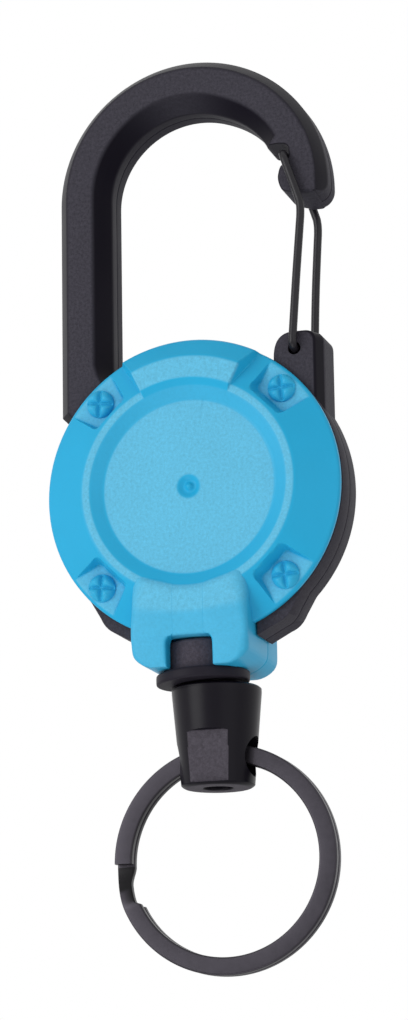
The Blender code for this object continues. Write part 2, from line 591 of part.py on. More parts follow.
def rear_cover(blue):
    """Turned shell with a flat back, nose half, four counterbores and a spring rib."""
    rib = SPOOL_FLANGE_RADIUS
    profile = [(0.0, TOUCH_GAP / 2), (SPIGOT_RADIUS, TOUCH_GAP / 2), (SPIGOT_RADIUS, FLANGE_FACE),
               (COVER_RADIUS, FLANGE_FACE), (COVER_RADIUS, FLANGE_FACE + RIM_EDGE),
               (REAR_FLAT_RADIUS, REAR_DEPTH), (0.0, REAR_DEPTH)]
    cover = add_object("rear_cover", turned(profile, FINE_STEPS), blue)
    nose = nose_block(-REAR_DEPTH, -NOSE_SEAM - TOUCH_GAP / 2)
    bmesh.ops.scale(nose, verts=nose.verts, vec=(1, -1, 1))
    shape(cover, [nose], 'UNION', "nose")
    room = [(0.0, -OVERRUN), (CAVITY_RADIUS, -OVERRUN), (CAVITY_RADIUS, REAR_INSIDE),
            (rib, REAR_INSIDE), (rib, PLATE_FRONT), (SPRING_OUTER, PLATE_FRONT),
            (SPRING_OUTER, REAR_INSIDE), (HUB_BORE, REAR_INSIDE),
            (HUB_BORE, REAR_INSIDE + AXLE_SEAT), (0.0, REAR_INSIDE + AXLE_SEAT)]
    side = NOSE_HALF_WIDTH + TOUCH_GAP
    seam = box((-side, -OVERRUN, -NOSE_BOTTOM), (side, NOSE_SEAM + TOUCH_GAP / 2, -RECESS_RADIUS))
    counterbores = []
    for x, z in SCREW_CORNERS:
        head_room = SCREW_HEAD_RADIUS + RUN_GAP
        counterbores.append(rod(head_room, (x, SCREW_SEAT, z), (x, REAR_DEPTH + OVERRUN, z)))
    cuts = [turned(room, FINE_STEPS, step_share=0.5), seam] + nose_hollow() + counterbores
    shape(cover, cuts, 'DIFFERENCE', "hollows")
    bosses = [rod(BOSS_RADIUS, (x, TOUCH_GAP / 2, z), (x, (FLANGE_FACE + SCREW_SEAT) / 2, z))
              for x, z in SCREW_CORNERS]
    shape(cover, bosses, 'UNION', "bosses")
    pilot = SCREW_RADIUS + PILOT_GAP
    pilots = [rod(pilot, (x, -OVERRUN, z), (x, SCREW_SEAT + OVERRUN, z)) for x, z in SCREW_CORNERS]
    shape(cover, pilots, 'DIFFERENCE', "pilots")
    return cover


def hook_section(inner, outer):
    """Section of the hook: inner and outer reach, against depth Y."""
    front, back = -FRAME_HALF, FRAME_HALF
    bevel_end = front + HOOK_BEVEL_DEPTH
    return [(inner, bevel_end), (inner + HOOK_BEVEL, front), (outer - HOOK_BEVEL, front),
            (outer, bevel_end), (outer, back - HOOK_BACK_BEVEL), (outer - HOOK_BACK_BEVEL, back),
            (inner + HOOK_BACK_BEVEL, back), (inner, back - HOOK_BACK_BEVEL)]


def hook_sweep():
    """The leg and the arch: one section carried up a line, over an arc and down again."""
    sections = []
    left = -HOOK_SHIFT
    straight = hook_section(HOOK_INNER, HOOK_OUTER)
    sections.append([(left - reach, y, LEG_END) for reach, y in straight])
    turns = 24
    for i in range(turns + 1):
        angle = math.pi * i / turns
        swell = (HOOK_CROWN_WIDTH - HOOK_WIDTH) * math.sin(angle) ** 2
        ring = []
        for reach, y in hook_section(HOOK_INNER - swell, HOOK_OUTER):
            ring.append((left - reach * math.cos(angle), y, HOOK_CENTRE_Z + reach * math.sin(angle)))
        sections.append(ring)
    sections.append([(left + reach, y, TIP_END) for reach, y in straight])
    return loft(sections)


def ring_outline():
    """Outline of the frame's ring: a circle with a rounded corner at each side of the nose."""
    circle = arc((0.0, 0.0), RING_RADIUS, -RING_STRAIGHT, math.pi + RING_STRAIGHT, 42)
    foot = (RING_OPENING - WALL_ROOT, -RING_FOOT)
    corner = (RING_OPENING + RING_CORNER_OUT, -RING_CORNER)
    side = rounded([foot, corner, circle[0]], [0, RING_CORNER_ROUND, 0])[:-1]
    return side + circle + [(-x, z) for x, z in reversed(side)]


def ear_outline():
    corners = [(EAR_INNER, 0.0), (EAR_OUTER, 0.0), (EAR_OUTER, EAR_TOP), (EAR_INNER, EAR_TOP)]
    return rounded(corners, [0, 0, EAR_ROUND_OUT, EAR_ROUND])


def tip_cutters():
    """Cut the hook's tip: a slant inside, a small corner outside, a bevel in front."""
    front = -FRAME_HALF - OVERRUN
    back = FRAME_HALF + OVERRUN
    inner = HOOK_INNER - HOOK_SHIFT
    outer = HOOK_OUTER - HOOK_SHIFT
    low = TIP_END - OVERRUN
    knee_x, knee_z = TIP_SLANT_SHARES
    slant = [(inner - OVERRUN, TIP_END + TIP_SLANT_HEIGHT), (inner, TIP_END + TIP_SLANT_HEIGHT),
             (inner + TIP_SLANT_WIDTH * knee_x, TIP_END + TIP_SLANT_HEIGHT * (1 - knee_z)),
             (inner + TIP_SLANT_WIDTH, TIP_END), (inner + TIP_SLANT_WIDTH, low),
             (inner - OVERRUN, low)]
    corner = [(outer + OVERRUN, low), (outer + OVERRUN, TIP_END + TIP_CORNER + OVERRUN),
              (outer - TIP_CORNER - OVERRUN, low)]
    bevel_top = TIP_END + TIP_BEVEL
    bevel = [(front, low), (-FRAME_HALF + TIP_BEVEL, low), (-FRAME_HALF + TIP_BEVEL, TIP_END),
             (-FRAME_HALF, bevel_top), (front, bevel_top)]
    across = (inner - OVERRUN, outer + OVERRUN)
    bevel_cut = loft([[(x, y, z) for y, z in bevel] for x in across])
    return [extruded(slant, front, back), extruded(corner, front, back), bevel_cut]


def carabiner_frame(black):
    """Hook, leg, ear and open ring in one moulded piece."""
    frame = add_object("carabiner_frame", hook_sweep(), black)
    left = -HOOK_SHIFT - HOOK_OUTER
    below = LEG_FOOT - LEG_END
    foot = [(left - OVERRUN, LEG_FOOT + OVERRUN), (left + below + OVERRUN, LEG_END - OVERRUN),
            (left - OVERRUN, LEG_END - OVERRUN)]
    foot_cut = extruded(foot, -FRAME_HALF - OVERRUN, FRAME_HALF + OVERRUN)
    shape(frame, [foot_cut] + tip_cutters(), 'DIFFERENCE', "ends")
    outlines = (ring_outline(), ear_outline())
    fused = [extruded(outline, -FRAME_HALF, FRAME_HALF) for outline in outlines]
    shape(frame, fused, 'UNION', "ring_and_ear")
    bore = turned([(0.0, -FRAME_HALF - OVERRUN), (RING_BORE, -FRAME_HALF - OVERRUN),
                   (RING_BORE, FRAME_HALF + OVERRUN), (0.0, FRAME_HALF + OVERRUN)],
                  FINE_STEPS, step_share=0.5)
    opening = box((-RING_OPENING, -FRAME_HALF - OVERRUN, -NOSE_BOTTOM),
                  (RING_OPENING, FRAME_HALF + OVERRUN, 0.0))
    holes = [rod(BOSS_RADIUS + RUN_GAP, (x, -FRAME_HALF - OVERRUN, z), (x, FRAME_HALF + OVERRUN, z))
             for x, z in SCREW_CORNERS]
    notch_left = HOOK_INNER - HOOK_SHIFT - OVERRUN
    notch = box((notch_left, -FRAME_HALF - OVERRUN, NOTCH_HEIGHT - NOTCH_HALF),
                (NOTCH_DEEP, FRAME_HALF + OVERRUN, NOTCH_HEIGHT + NOTCH_HALF))
    pivots = [rod(WIRE_RADIUS + RUN_GAP, (x, side * (FRAME_HALF + OVERRUN), PIVOT_Z),
                  (x, side * (FRAME_HALF - PIVOT_DEEP - TOUCH_GAP), PIVOT_Z), steps=12)
              for side, x in ((-1, PIVOT_X), (1, PIVOT_X + PIVOT_SPLIT))]
    bevel_end = -FRAME_HALF + EAR_BEVEL_DEPTH
    ear_edge = [(EAR_OUTER - EAR_BEVEL, -FRAME_HALF), (EAR_OUTER, bevel_end),
                (EAR_OUTER + OVERRUN, bevel_end), (EAR_OUTER + OVERRUN, -FRAME_HALF - OVERRUN),
                (EAR_OUTER - EAR_BEVEL, -FRAME_HALF - OVERRUN)]
    ear_cut = loft([[(x, y, z) for x, y in ear_edge] for z in (LEG_FOOT, EAR_TOP + OVERRUN)])
    shape(frame, [bore, opening, notch, ear_cut] + holes + pivots, 'DIFFERENCE', "holes")
    return frame


def wire_gate(wire):
    """A bent wire: up the front from the ear, across through the notch, down the back.

    Its two ends sit in holes a little apart, which is what springs the gate shut.
    """
    y = FRAME_HALF + TOUCH_GAP + WIRE_RADIUS
    height = WIRE_KNEE - PIVOT_Z
    front = [(PIVOT_X, -FRAME_HALF + PIVOT_DEEP, PIVOT_Z), (PIVOT_X, -FRAME_HALF, PIVOT_Z),
             (PIVOT_X, -y, PIVOT_Z + WIRE_BEND)]
    for share in WIRE_SHARES:
        front.append((PIVOT_X + (WIRE_KNEE_X - PIVOT_X) * share, -y, PIVOT_Z + height * share))
    front += [(WIRE_KNEE_X - WIRE_BEND / 3, -y, WIRE_KNEE + WIRE_BEND),
              (WIRE_U + WIRE_BEND / 2, -y, NOTCH_HEIGHT - WIRE_BEND),
              (WIRE_U, -y + WIRE_BEND, NOTCH_HEIGHT), (WIRE_U, 0.0, NOTCH_HEIGHT)]
    rear = []
    for x, depth, z in reversed(front[:-1]):
        out = PIVOT_SPLIT * (NOTCH_HEIGHT - z) / (NOTCH_HEIGHT - PIVOT_Z)
        rear.append((x + out, -depth, z))
    path = smooth_path(front + rear, 3)
    origin = (PIVOT_X + PIVOT_SPLIT / 2, 0.0, PIVOT_Z)
    return tube("wire_gate", path, WIRE_RADIUS, wire, origin=origin)


def cover_screws(steel):
    """Four pan-head screws, each with a cross recess, driven in from behind."""
    for number, (x, z) in enumerate(SCREW_CORNERS, start=1):
        seat = SCREW_SEAT + TOUCH_GAP
        top = seat + SCREW_HEAD_HEIGHT
        shoulder = seat + SCREW_HEAD_HEIGHT / 2
        profile = [(0.0, -SCREW_TIP), (SCREW_RADIUS, -SCREW_TIP + SCREW_RADIUS),
                   (SCREW_RADIUS, seat), (SCREW_HEAD_RADIUS, seat), (SCREW_HEAD_RADIUS, shoulder),
                   (SCREW_HEAD_RADIUS * SCREW_TOP_SHARE, top), (0.0, top)]
        bm = turned(profile, SMALL_STEPS)
        bmesh.ops.translate(bm, verts=bm.verts, vec=(x, 0.0, z))
        screw = add_object(f"cover_screw_{number}", bm, steel, origin=(x, 0.0, z))
        bars = []
        for along, across in ((CROSS_WIDTH, CROSS_LENGTH), (CROSS_LENGTH, CROSS_WIDTH)):
            bar = box((x - along / 2, top - CROSS_DEPTH, z - across / 2),
                      (x + along / 2, top + OVERRUN, z + across / 2))
            bars.append(bar)
        shape(screw, bars, 'DIFFERENCE', "cross")


def axle(steel):
    front = -PANEL_INSIDE - AXLE_SEAT + TOUCH_GAP
    back = REAR_INSIDE + AXLE_SEAT - TOUCH_GAP
    edge = AXLE_RADIUS / 6
    profile = [(0.0, front), (AXLE_RADIUS - edge, front), (AXLE_RADIUS, front + edge),
               (AXLE_RADIUS, back - edge), (AXLE_RADIUS - edge, back), (0.0, back)]
    return add_object("spool_axle", turned(profile, SMALL_STEPS), steel)


def ring_solid(name, bore, radius, front, back, mat):
    profile = [(bore, front), (radius, front), (radius, back), (bore, back)]
    return add_object(name, turned(profile, COARSE_STEPS), mat)


def spool(plastic):
    """Drum with two flanges and a hub, hollow between drum and hub."""
    well = -SPOOL_FRONT + 2 * SPOOL_FLANGE
    drum_bore = DRUM_RADIUS - DRUM_WALL
    profile = [(HUB_BORE, -SPOOL_FRONT), (SPOOL_FLANGE_RADIUS, -SPOOL_FRONT),
               (SPOOL_FLANGE_RADIUS, CHANNEL_FRONT), (DRUM_RADIUS, CHANNEL_FRONT),
               (DRUM_RADIUS, CHANNEL_BACK), (SPOOL_FLANGE_RADIUS, CHANNEL_BACK),
               (SPOOL_FLANGE_RADIUS, SPOOL_BACK), (drum_bore, SPOOL_BACK), (drum_bore, well),
               (HUB_RADIUS, well), (HUB_RADIUS, SPRING_BACK), (HUB_BORE, SPRING_BACK)]
    body = add_object("spool", turned(profile, 48), plastic)
    angle = CORD_START
    hole = rod(CORD_RADIUS + RUN_GAP, around(drum_bore - CORD_RADIUS, angle, WINDING_START_Y),
               around(DRUM_RADIUS + CORD_RADIUS, angle, WINDING_START_Y), steps=10)
    shape(body, [hole], 'DIFFERENCE', "cord_hole")
    return body


def around(radius, angle, y):
    """A point at an angle about the reel's axis, measured from +X towards +Z."""
    return (radius * math.cos(angle), y, radius * math.sin(angle))


LEAVE_ANGLE = -math.acos(LAYER_2 / (CAVITY_RADIUS + LEAD_BEND))
CORD_LEAVES = -math.pi / 2 - LEAVE_ANGLE
WINDING_TURNS = 2 * LAYER_TURNS + CLIMB_TURNS
CORD_START = CORD_LEAVES + WINDING_TURNS * 2 * math.pi
WINDING_START_Y = CHANNEL_FRONT + RUN_GAP + CORD_RADIUS


def winding_points():
    """The cord on its drum: out to the back in one layer, up, and home in a second.

    Seen from the front the cord runs clockwise from its hole in the drum.
    """
    hole_arc = CORD_RADIUS * 2
    points = [Vector(around(DRUM_RADIUS - DRUM_WALL / 2, CORD_START, WINDING_START_Y))]
    centre_radius = LAYER_1 - hole_arc
    for step in range(4):
        a = math.pi / 2 * step / 4
        radial = centre_radius + hole_arc * math.sin(a)
        side = hole_arc * (1 - math.cos(a))
        angle = CORD_START - math.atan2(side, radial)
        points.append(Vector(around(math.hypot(radial, side), angle, WINDING_START_Y)))
    per_turn = 24
    total = int(WINDING_TURNS * per_turn)
    for i in range(1, total + 1):
        turn = i / per_turn
        if turn < LAYER_TURNS:
            radius = LAYER_1
            along = turn
        elif turn < LAYER_TURNS + CLIMB_TURNS:
            share = (turn - LAYER_TURNS) / CLIMB_TURNS
            radius = LAYER_1 + (LAYER_2 - LAYER_1) * share
            along = LAYER_TURNS + 4 * TURN_BACK_SHARE * share * (1 - share)
        else:
            radius = LAYER_2
            along = WINDING_TURNS - turn
        points.append(Vector(around(radius, CORD_START - turn * 2 * math.pi,
                                    WINDING_START_Y + along * CORD_PITCH)))
    heading = (points[-1] - points[-2]).normalized()
    points.append(points[-1] + heading * 2 * CORD_RADIUS)
    return points


def least_self_gap(points, radius):
    """Least clear distance between turns, skipping neighbours along the path."""
    least = math.inf
    skip = 8
    for i, a in enumerate(points):
        for b in points[i + skip:]:
            least = min(least, (a - b).length - 2 * radius)
    return least


def cords(nylon):
    winding = winding_points()
    print(f"wound_cord least gap to itself: {least_self_gap(winding, CORD_RADIUS) * 1000:.2f} mm")
    tube("wound_cord", winding, CORD_RADIUS, nylon, sides_resolution=1)
    heading = (winding[-1] - winding[-2]).normalized()
    start = winding[-1] + heading * TOUCH_GAP
    corner = Vector((0.0, PLUG_Y, -CAVITY_RADIUS - LEAD_BEND))
    lead_end = Vector((0.0, PLUG_Y, PLUG_TOP + TOUCH_GAP / 2 + CORD_RADIUS))
    route = [start, start.lerp(corner, LEAD_SHARES[0]), start.lerp(corner, LEAD_SHARES[1]),
             corner.lerp(lead_end, LEAD_SHARES[2]), lead_end]
    tube("cord_lead", smooth_path(route, 4), CORD_RADIUS, nylon)
    plug_axis = (0.0, PLUG_Y)
    top = lead_end[2] - TOUCH_GAP
    route = [(*plug_axis, top), (*plug_axis, PLUG_TOP - CORD_RADIUS), (*plug_axis, PLUG_DISC_TOP),
             (BARREL_X, BARREL_Y, SHOULDER_Z), (BARREL_X, BARREL_Y, FERRULE_TOP + TOUCH_GAP)]
    tube("cord_end", smooth_path(route, 8), CORD_RADIUS, nylon)


def power_spring(steel):
    """A flat steel ribbon wound from the hub out to the rib in the rear cover."""
    inner = HUB_RADIUS + TOUCH_GAP + SPRING_THICK / 2
    outer = SPRING_OUTER - TOUCH_GAP - SPRING_THICK / 2
    steps = SPRING_TURNS * 24
    sections = []
    for i in range(steps + 1):
        angle = 2 * math.pi * SPRING_TURNS * i / steps
        middle = inner + (outer - inner) * i / steps
        low, high = middle - SPRING_THICK / 2, middle + SPRING_THICK / 2
        sections.append([around(low, angle, SPRING_FRONT), around(high, angle, SPRING_FRONT),
                         around(high, angle, SPRING_BACK), around(low, angle, SPRING_BACK)])
    return add_object("power_spring", loft(sections), steel)


def dock_plug(black):
    """Round neck and flange with a bore that flares towards the barrel."""
    bore = CORD_RADIUS + RUN_GAP
    edge = PLUG_EDGE
    profile = [(bore, PLUG_TOP), (PLUG_NECK_RADIUS - edge, PLUG_TOP),
               (PLUG_NECK_RADIUS, PLUG_TOP - edge), (PLUG_NECK_RADIUS, PLUG_DISC_TOP),
               (PLUG_DISC_RADIUS - edge, PLUG_DISC_TOP), (PLUG_DISC_RADIUS, PLUG_DISC_TOP - edge),
               (PLUG_DISC_RADIUS, PLUG_DISC_FOOT + edge), (PLUG_DISC_RADIUS - edge, PLUG_DISC_FOOT),
               (PLUG_FLARE_RADIUS, PLUG_DISC_FOOT), (bore, PLUG_DISC_TOP)]
    bm = turned(profile, COARSE_STEPS, axis='Z')
    bmesh.ops.translate(bm, verts=bm.verts, vec=(0.0, PLUG_Y, 0.0))
    return add_object("dock_plug", bm, black, origin=(0.0, PLUG_Y, PLUG_DISC_TOP))


def swivel_barrel(black):
    """Tapered barrel: funnel mouth, ferrule room, cross hole, two flats, foot hole."""
    neck = CORD_RADIUS + RUN_GAP
    room = FERRULE_RADIUS + RUN_GAP
    under = SHOULDER_Z - SHOULDER
    profile = [(BARREL_FUNNEL, BARREL_TOP), (BARREL_TOP_RADIUS - BARREL_EDGE, BARREL_TOP),
               (BARREL_TOP_RADIUS, BARREL_TOP - BARREL_EDGE),
               (BARREL_BOTTOM_RADIUS, BARREL_FOOT + BARREL_EDGE),
               (BARREL_BOTTOM_RADIUS - BARREL_EDGE, BARREL_FOOT), (BARREL_FOOT_HOLE, BARREL_FOOT),
               (BARREL_FOOT_HOLE, CROSS_HOLE_Z), (room, CROSS_HOLE_Z), (room, under),
               (neck, under), (neck, SHOULDER_Z)]
    bm = turned(profile, COARSE_STEPS, axis='Z', axis_point=(BARREL_X, BARREL_Y, 0.0))
    barrel = add_object("swivel_barrel", bm, black, origin=(BARREL_X, BARREL_Y, CROSS_HOLE_Z))
    reach = BARREL_TOP_RADIUS + OVERRUN
    hole = rod(CROSS_HOLE_RADIUS, (BARREL_X - reach, BARREL_Y, CROSS_HOLE_Z),
               (BARREL_X + reach, BARREL_Y, CROSS_HOLE_Z), steps=24)
    cuts = [hole]
    middle = (BARREL_TOP_RADIUS + BARREL_BOTTOM_RADIUS) / 2
    face = math.sqrt(middle ** 2 - (BARREL_FLAT_WIDTH / 2) ** 2)
    for side in (-1, 1):
        near, far = sorted((side * face, side * reach))
        flat = box((BARREL_X - BARREL_FLAT_WIDTH / 2, BARREL_Y + near, BARREL_FOOT + BARREL_EDGE),
                   (BARREL_X + BARREL_FLAT_WIDTH / 2, BARREL_Y + far,
                    BARREL_FOOT + BARREL_EDGE + BARREL_FLAT_HEIGHT))
        cuts.append(flat)
    shape(barrel, cuts, 'DIFFERENCE', "hole_and_flats")
    return barrel


def cord_ferrule(steel):
    """Crimped sleeve on the cord's end, held under the barrel's shoulder."""
    edge = FERRULE_RADIUS / 5
    foot = FERRULE_TOP - FERRULE_LENGTH
    profile = [(0.0, FERRULE_TOP), (FERRULE_RADIUS - edge, FERRULE_TOP),
               (FERRULE_RADIUS, FERRULE_TOP - edge), (FERRULE_RADIUS, foot + edge),
               (FERRULE_RADIUS - edge, foot), (0.0, foot)]
    bm = turned(profile, SMALL_STEPS, axis='Z', axis_point=(BARREL_X, BARREL_Y, 0.0))
    return add_object("cord_ferrule", bm, steel, origin=(BARREL_X, BARREL_Y, FERRULE_TOP))


def key_ring_centre():
    """The ring's middle, hung so that its inner edge rests over the cross hole's floor."""
    inner = KEY_RING_RADIUS - KEY_RING_BAND
    share = (CROSS_HOLE_DROP + CROSS_HOLE_RADIUS) / BARREL_LENGTH
    wall = BARREL_TOP_RADIUS + (BARREL_BOTTOM_RADIUS - BARREL_TOP_RADIUS) * share
    reach = wall + KEY_RING_X - BARREL_X
    drop = inner - math.sqrt(inner ** 2 - reach ** 2)
    side = KEY_RING_THICK / 2 - KEY_RING_EDGE + KEY_RING_Y - BARREL_Y
    floor = CROSS_HOLE_Z - math.sqrt(CROSS_HOLE_RADIUS ** 2 - side ** 2)
    return (KEY_RING_X, KEY_RING_Y, floor + TOUCH_GAP + drop - inner)


def split_ring(steel):
    """Flat wire wound twice round, stepping from one layer to the other at one place."""
    centre = Vector(key_ring_centre())
    layer = (KEY_RING_COIL + KEY_RING_COIL_GAP) / 2
    half = KEY_RING_COIL / 2
    inner, outer = KEY_RING_RADIUS - KEY_RING_BAND, KEY_RING_RADIUS
    edge = KEY_RING_EDGE
    cut = [(inner + edge, -half), (outer - edge, -half), (outer, -half + edge), (outer, half - edge),
           (outer - edge, half), (inner + edge, half), (inner, half - edge), (inner, -half + edge)]
    jog = KEY_RING_JOG / 2
    per_turn = 40
    run = 2 * math.pi - 2 * jog - KEY_RING_CLEAR
    start = jog + KEY_RING_CLEAR
    stations = [(start + run * i / per_turn, -1.0) for i in range(per_turn + 1)]
    jog_steps = 6
    for i in range(1, jog_steps):
        share = i / jog_steps
        side = 6 * share ** 2 - 4 * share ** 3 - 1
        stations.append((2 * math.pi - jog + 2 * jog * share, side))
    start = 2 * math.pi + jog
    stations += [(start + run * i / per_turn, 1.0) for i in range(per_turn + 1)]
    sections = []
    for turn, side in stations:
        angle = KEY_RING_JOG_PLACE - turn
        ring = [Vector(around(reach, angle, side * layer + y)) + centre for reach, y in cut]
        sections.append(ring)
    pivot = (BARREL_X, BARREL_Y, CROSS_HOLE_Z)
    return add_object("split_ring", loft(sections), steel, origin=pivot)


def main():
    clear_scene()
    blue = material("sky_blue_abs", (0.12, 0.50, 0.74), 0.45)
    black = material("black_nylon", (0.035, 0.032, 0.038), 0.55)
    plug_black = material("black_plug_nylon", (0.03, 0.028, 0.033), 0.6)
    wire = material("coated_wire", (0.03, 0.028, 0.032), 0.4, 0.3)
    ring_steel = material("gunmetal_steel", (0.10, 0.095, 0.105), 0.35, 0.8)
    steel = material("zinc_steel", (0.6, 0.6, 0.62), 0.35, 1.0)
    spring_steel = material("spring_steel", (0.35, 0.36, 0.40), 0.3, 1.0)
    white = material("white_acetal", (0.8, 0.8, 0.78), 0.5)
    nylon = material("braided_cord", (0.02, 0.02, 0.022), 0.8)
    front_cover(blue)
    rear_cover(blue)
    carabiner_frame(black)
    wire_gate(wire)
    cover_screws(steel)
    axle(steel)
    ring_solid("thrust_washer", HUB_BORE, WASHER_RADIUS, -PANEL_INSIDE + TOUCH_GAP,
               -PANEL_INSIDE + TOUCH_GAP + WASHER_THICK, white)
    ring_solid("spring_plate", HUB_RADIUS + RUN_GAP, SPRING_OUTER - TOUCH_GAP, PLATE_FRONT,
               PLATE_FRONT + PLATE_THICK, steel)
    spool(white)
    power_spring(spring_steel)
    cords(nylon)
    dock_plug(plug_black)
    cord_ferrule(steel)
    swivel_barrel(black)
    split_ring(ring_steel)


main()
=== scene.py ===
"""Looks for the retractable key reel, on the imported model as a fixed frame.

Shapes are worked out in millimetres around the reel's axis: x to the right, y into the
picture, z up. piece() turns them into metres and moves them to the frame's origin, which
is the crown inside the hook.
"""
import math

import bpy
import numpy as np
from mathutils import Matrix, Vector


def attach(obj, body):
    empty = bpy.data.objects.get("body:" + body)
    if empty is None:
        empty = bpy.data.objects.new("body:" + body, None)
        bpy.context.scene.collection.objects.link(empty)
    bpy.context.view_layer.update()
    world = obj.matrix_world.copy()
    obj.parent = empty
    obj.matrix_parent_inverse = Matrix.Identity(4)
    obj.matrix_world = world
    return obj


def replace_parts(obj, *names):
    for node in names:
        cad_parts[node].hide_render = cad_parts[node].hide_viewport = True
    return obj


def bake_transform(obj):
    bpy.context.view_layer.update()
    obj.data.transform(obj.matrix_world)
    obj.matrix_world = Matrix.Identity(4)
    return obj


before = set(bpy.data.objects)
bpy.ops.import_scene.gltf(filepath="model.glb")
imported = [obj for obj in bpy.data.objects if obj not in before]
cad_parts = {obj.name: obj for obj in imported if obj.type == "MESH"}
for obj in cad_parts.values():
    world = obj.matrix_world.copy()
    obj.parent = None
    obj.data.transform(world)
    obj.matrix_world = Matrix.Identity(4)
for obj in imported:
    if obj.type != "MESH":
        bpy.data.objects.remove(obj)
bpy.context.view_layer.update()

MM = 0.001
REEL_DROP = 55.8              # the reel's axis below the crown inside the hook

# Camera, from the photograph's perspective, and what the lamps look at
CAMERA_PLACE = (0.1283, -0.4341, -0.1598)
CAMERA_TURN = math.radians(16.44)
CAMERA_RISE = math.radians(-12.70)
CAMERA_ROLL = math.radians(-0.91)
CAMERA_LENS = 116.72
LAMP_AIM = (0.0, 0.0, -0.055)

# Reel
COVER = 21.2                  # radius of the two covers
FLANGE = 4.1                  # depth where they meet the frame's ring
SPIGOT = 15.8                 # their sleeve in the ring's bore, and its inside
CAVITY = 14.8
BROW_HALF_ANGLE = 26          # the brow's reach to each side of the top, in degrees
SCREW = 13.22                 # x and z of the screws' places
POCKET_FLOOR = 5.1
FRAME_HALF = 3.8              # half the thickness of ring, hook and ear
RING = 21.29
RING_BORE = 16.1

# Hook
HOOK_LEFT = -0.45
HOOK_HIGH = 44.15
HOOK_INNER = 12.15
HOOK_OUTER = 19.94
TIP_END = 41.5
WIRE_HOLES = (14.8, 15.6)     # x of the gate's holes in the ear, in front and behind
WIRE_LOW = 19.2
WIRE = 0.58                   # radius of the gate's wire

# Nose
NOSE_HALF = 8.4
BORE = 5.65
BORE_Y = -1.0

# Plug, barrel and ring
PLUG_Y = -1.0
BARREL = (1.4, 0.8)
RING_MIDDLE = (2.42, 1.0, -51.15)


def placed(name, data):
    """A new object in the scene."""
    made = bpy.data.objects.new(name, data)
    bpy.context.scene.collection.objects.link(made)
    return made


def make_camera():
    """Camera axes from its turn about the upright, its rise and its roll."""
    turn, rise, roll = CAMERA_TURN, CAMERA_RISE, CAMERA_ROLL
    back = Vector((math.sin(turn) * math.cos(rise), -math.cos(turn) * math.cos(rise),
                   math.sin(rise)))
    level = Vector((math.cos(turn), math.sin(turn), 0.0))
    upright = back.cross(level)
    right = level * math.cos(roll) + upright * math.sin(roll)
    up = upright * math.cos(roll) - level * math.sin(roll)
    data = bpy.data.cameras.new("camera")
    data.lens = CAMERA_LENS
    data.sensor_width = 36.0
    data.clip_start = 0.01
    camera = placed("camera", data)
    place = Matrix((right, up, back)).transposed().to_4x4()
    place.translation = Vector(CAMERA_PLACE)
    camera.matrix_world = place
    bpy.context.scene.camera = camera


def make_lamp(name, place, size, power):
    """A square soft lamp that looks at the reel."""
    data = bpy.data.lights.new(name, 'AREA')
    data.size = size
    data.energy = power
    towards = Vector(LAMP_AIM) - Vector(place)
    turned = towards.to_track_quat('-Z', 'Y').to_matrix().to_4x4()
    placed(name, data).matrix_world = Matrix.Translation(place) @ turned


class Value:
    """A shader socket; sums and products of it add Math nodes."""

    def __init__(self, nodes, socket):
        self.nodes = nodes
        self.socket = socket

    def math(self, operation, first, second):
        return self.nodes.node("Math", {"operation": operation}, {0: first, 1: second})

    def __add__(self, other):
        return self.math('ADD', self, other)

    def __radd__(self, other):
        return self.math('ADD', other, self)

    def __sub__(self, other):
        return self.math('SUBTRACT', self, other)

    def __rsub__(self, other):
        return self.math('SUBTRACT', other, self)

    def __mul__(self, other):
        return self.math('MULTIPLY', self, other)

    def __rmul__(self, other):
        return self.math('MULTIPLY', other, self)


class Nodes:
    """A node tree, and one method that adds any node to it."""

    def __init__(self, tree):
        self.tree = tree

    def feed(self, socket, source):
        if isinstance(source, Value):
            self.tree.links.new(source.socket, socket)
        elif socket.type == 'VECTOR':
            socket.default_value = source[:3]
        else:
            socket.default_value = source

    def node(self, kind, settings=None, inputs=None, output=0):
        made = self.tree.nodes.new("ShaderNode" + kind)
        for setting, value in (settings or {}).items():
            setattr(made, setting, value)
        for socket, source in (inputs or {}).items():
            self.feed(made.inputs[socket], source)
        return Value(self, made.outputs[output])

    def larger(self, first, second):
        return self.node("Math", {"operation": 'MAXIMUM'}, {0: first, 1: second})


class Finish(Nodes):
    """One material."""

    def __init__(self, name, **constants):
        self.material = bpy.data.materials.new(name)
        self.material.use_nodes = True
        super().__init__(self.material.node_tree)
        self.shader = self.tree.nodes["Principled BSDF"]
        for socket, value in constants.items():
            self.shader.inputs[socket.replace("_", " ")].default_value = value

    def place(self):
        return self.node("TexCoord", output="Object")

    def noise(self, size_mm, detail=2.0, where=None):
        """Noise whose grains are about size_mm across."""
        return self.node("TexNoise", {}, {"Vector": where or self.place(),
                                          "Scale": 1.0 / (size_mm * MM), "Detail": detail})

    def mix(self, share, first, second):
        """Colour between two colours."""
        return self.node("Mix", {"data_type": 'RGBA'}, {0: share, 6: first, 7: second}, 2)

    def tint(self, colour, brightness):
        """Colour times a number that varies over the surface."""
        grey = self.node("CombineXYZ", {}, {0: brightness, 1: brightness, 2: brightness})
        return self.node("VectorMath", {"operation": 'MULTIPLY'}, {0: colour, 1: grey})

    def attribute(self, name):
        return self.node("Attribute", {"attribute_name": name}, output="Fac")

    def surface(self, colour, roughness=None, height=None, depth_mm=0.0):
        """Feeds what varies to the shader; height bumps the surface by depth_mm."""
        self.feed(self.shader.inputs["Base Color"], colour)
        if roughness is not None:
            self.feed(self.shader.inputs["Roughness"], roughness)
        if height is not None:
            bump = self.node("Bump", {}, {"Height": height, "Strength": 1.0,
                                          "Distance": depth_mm * MM})
            self.feed(self.shader.inputs["Normal"], bump)
        return self.material


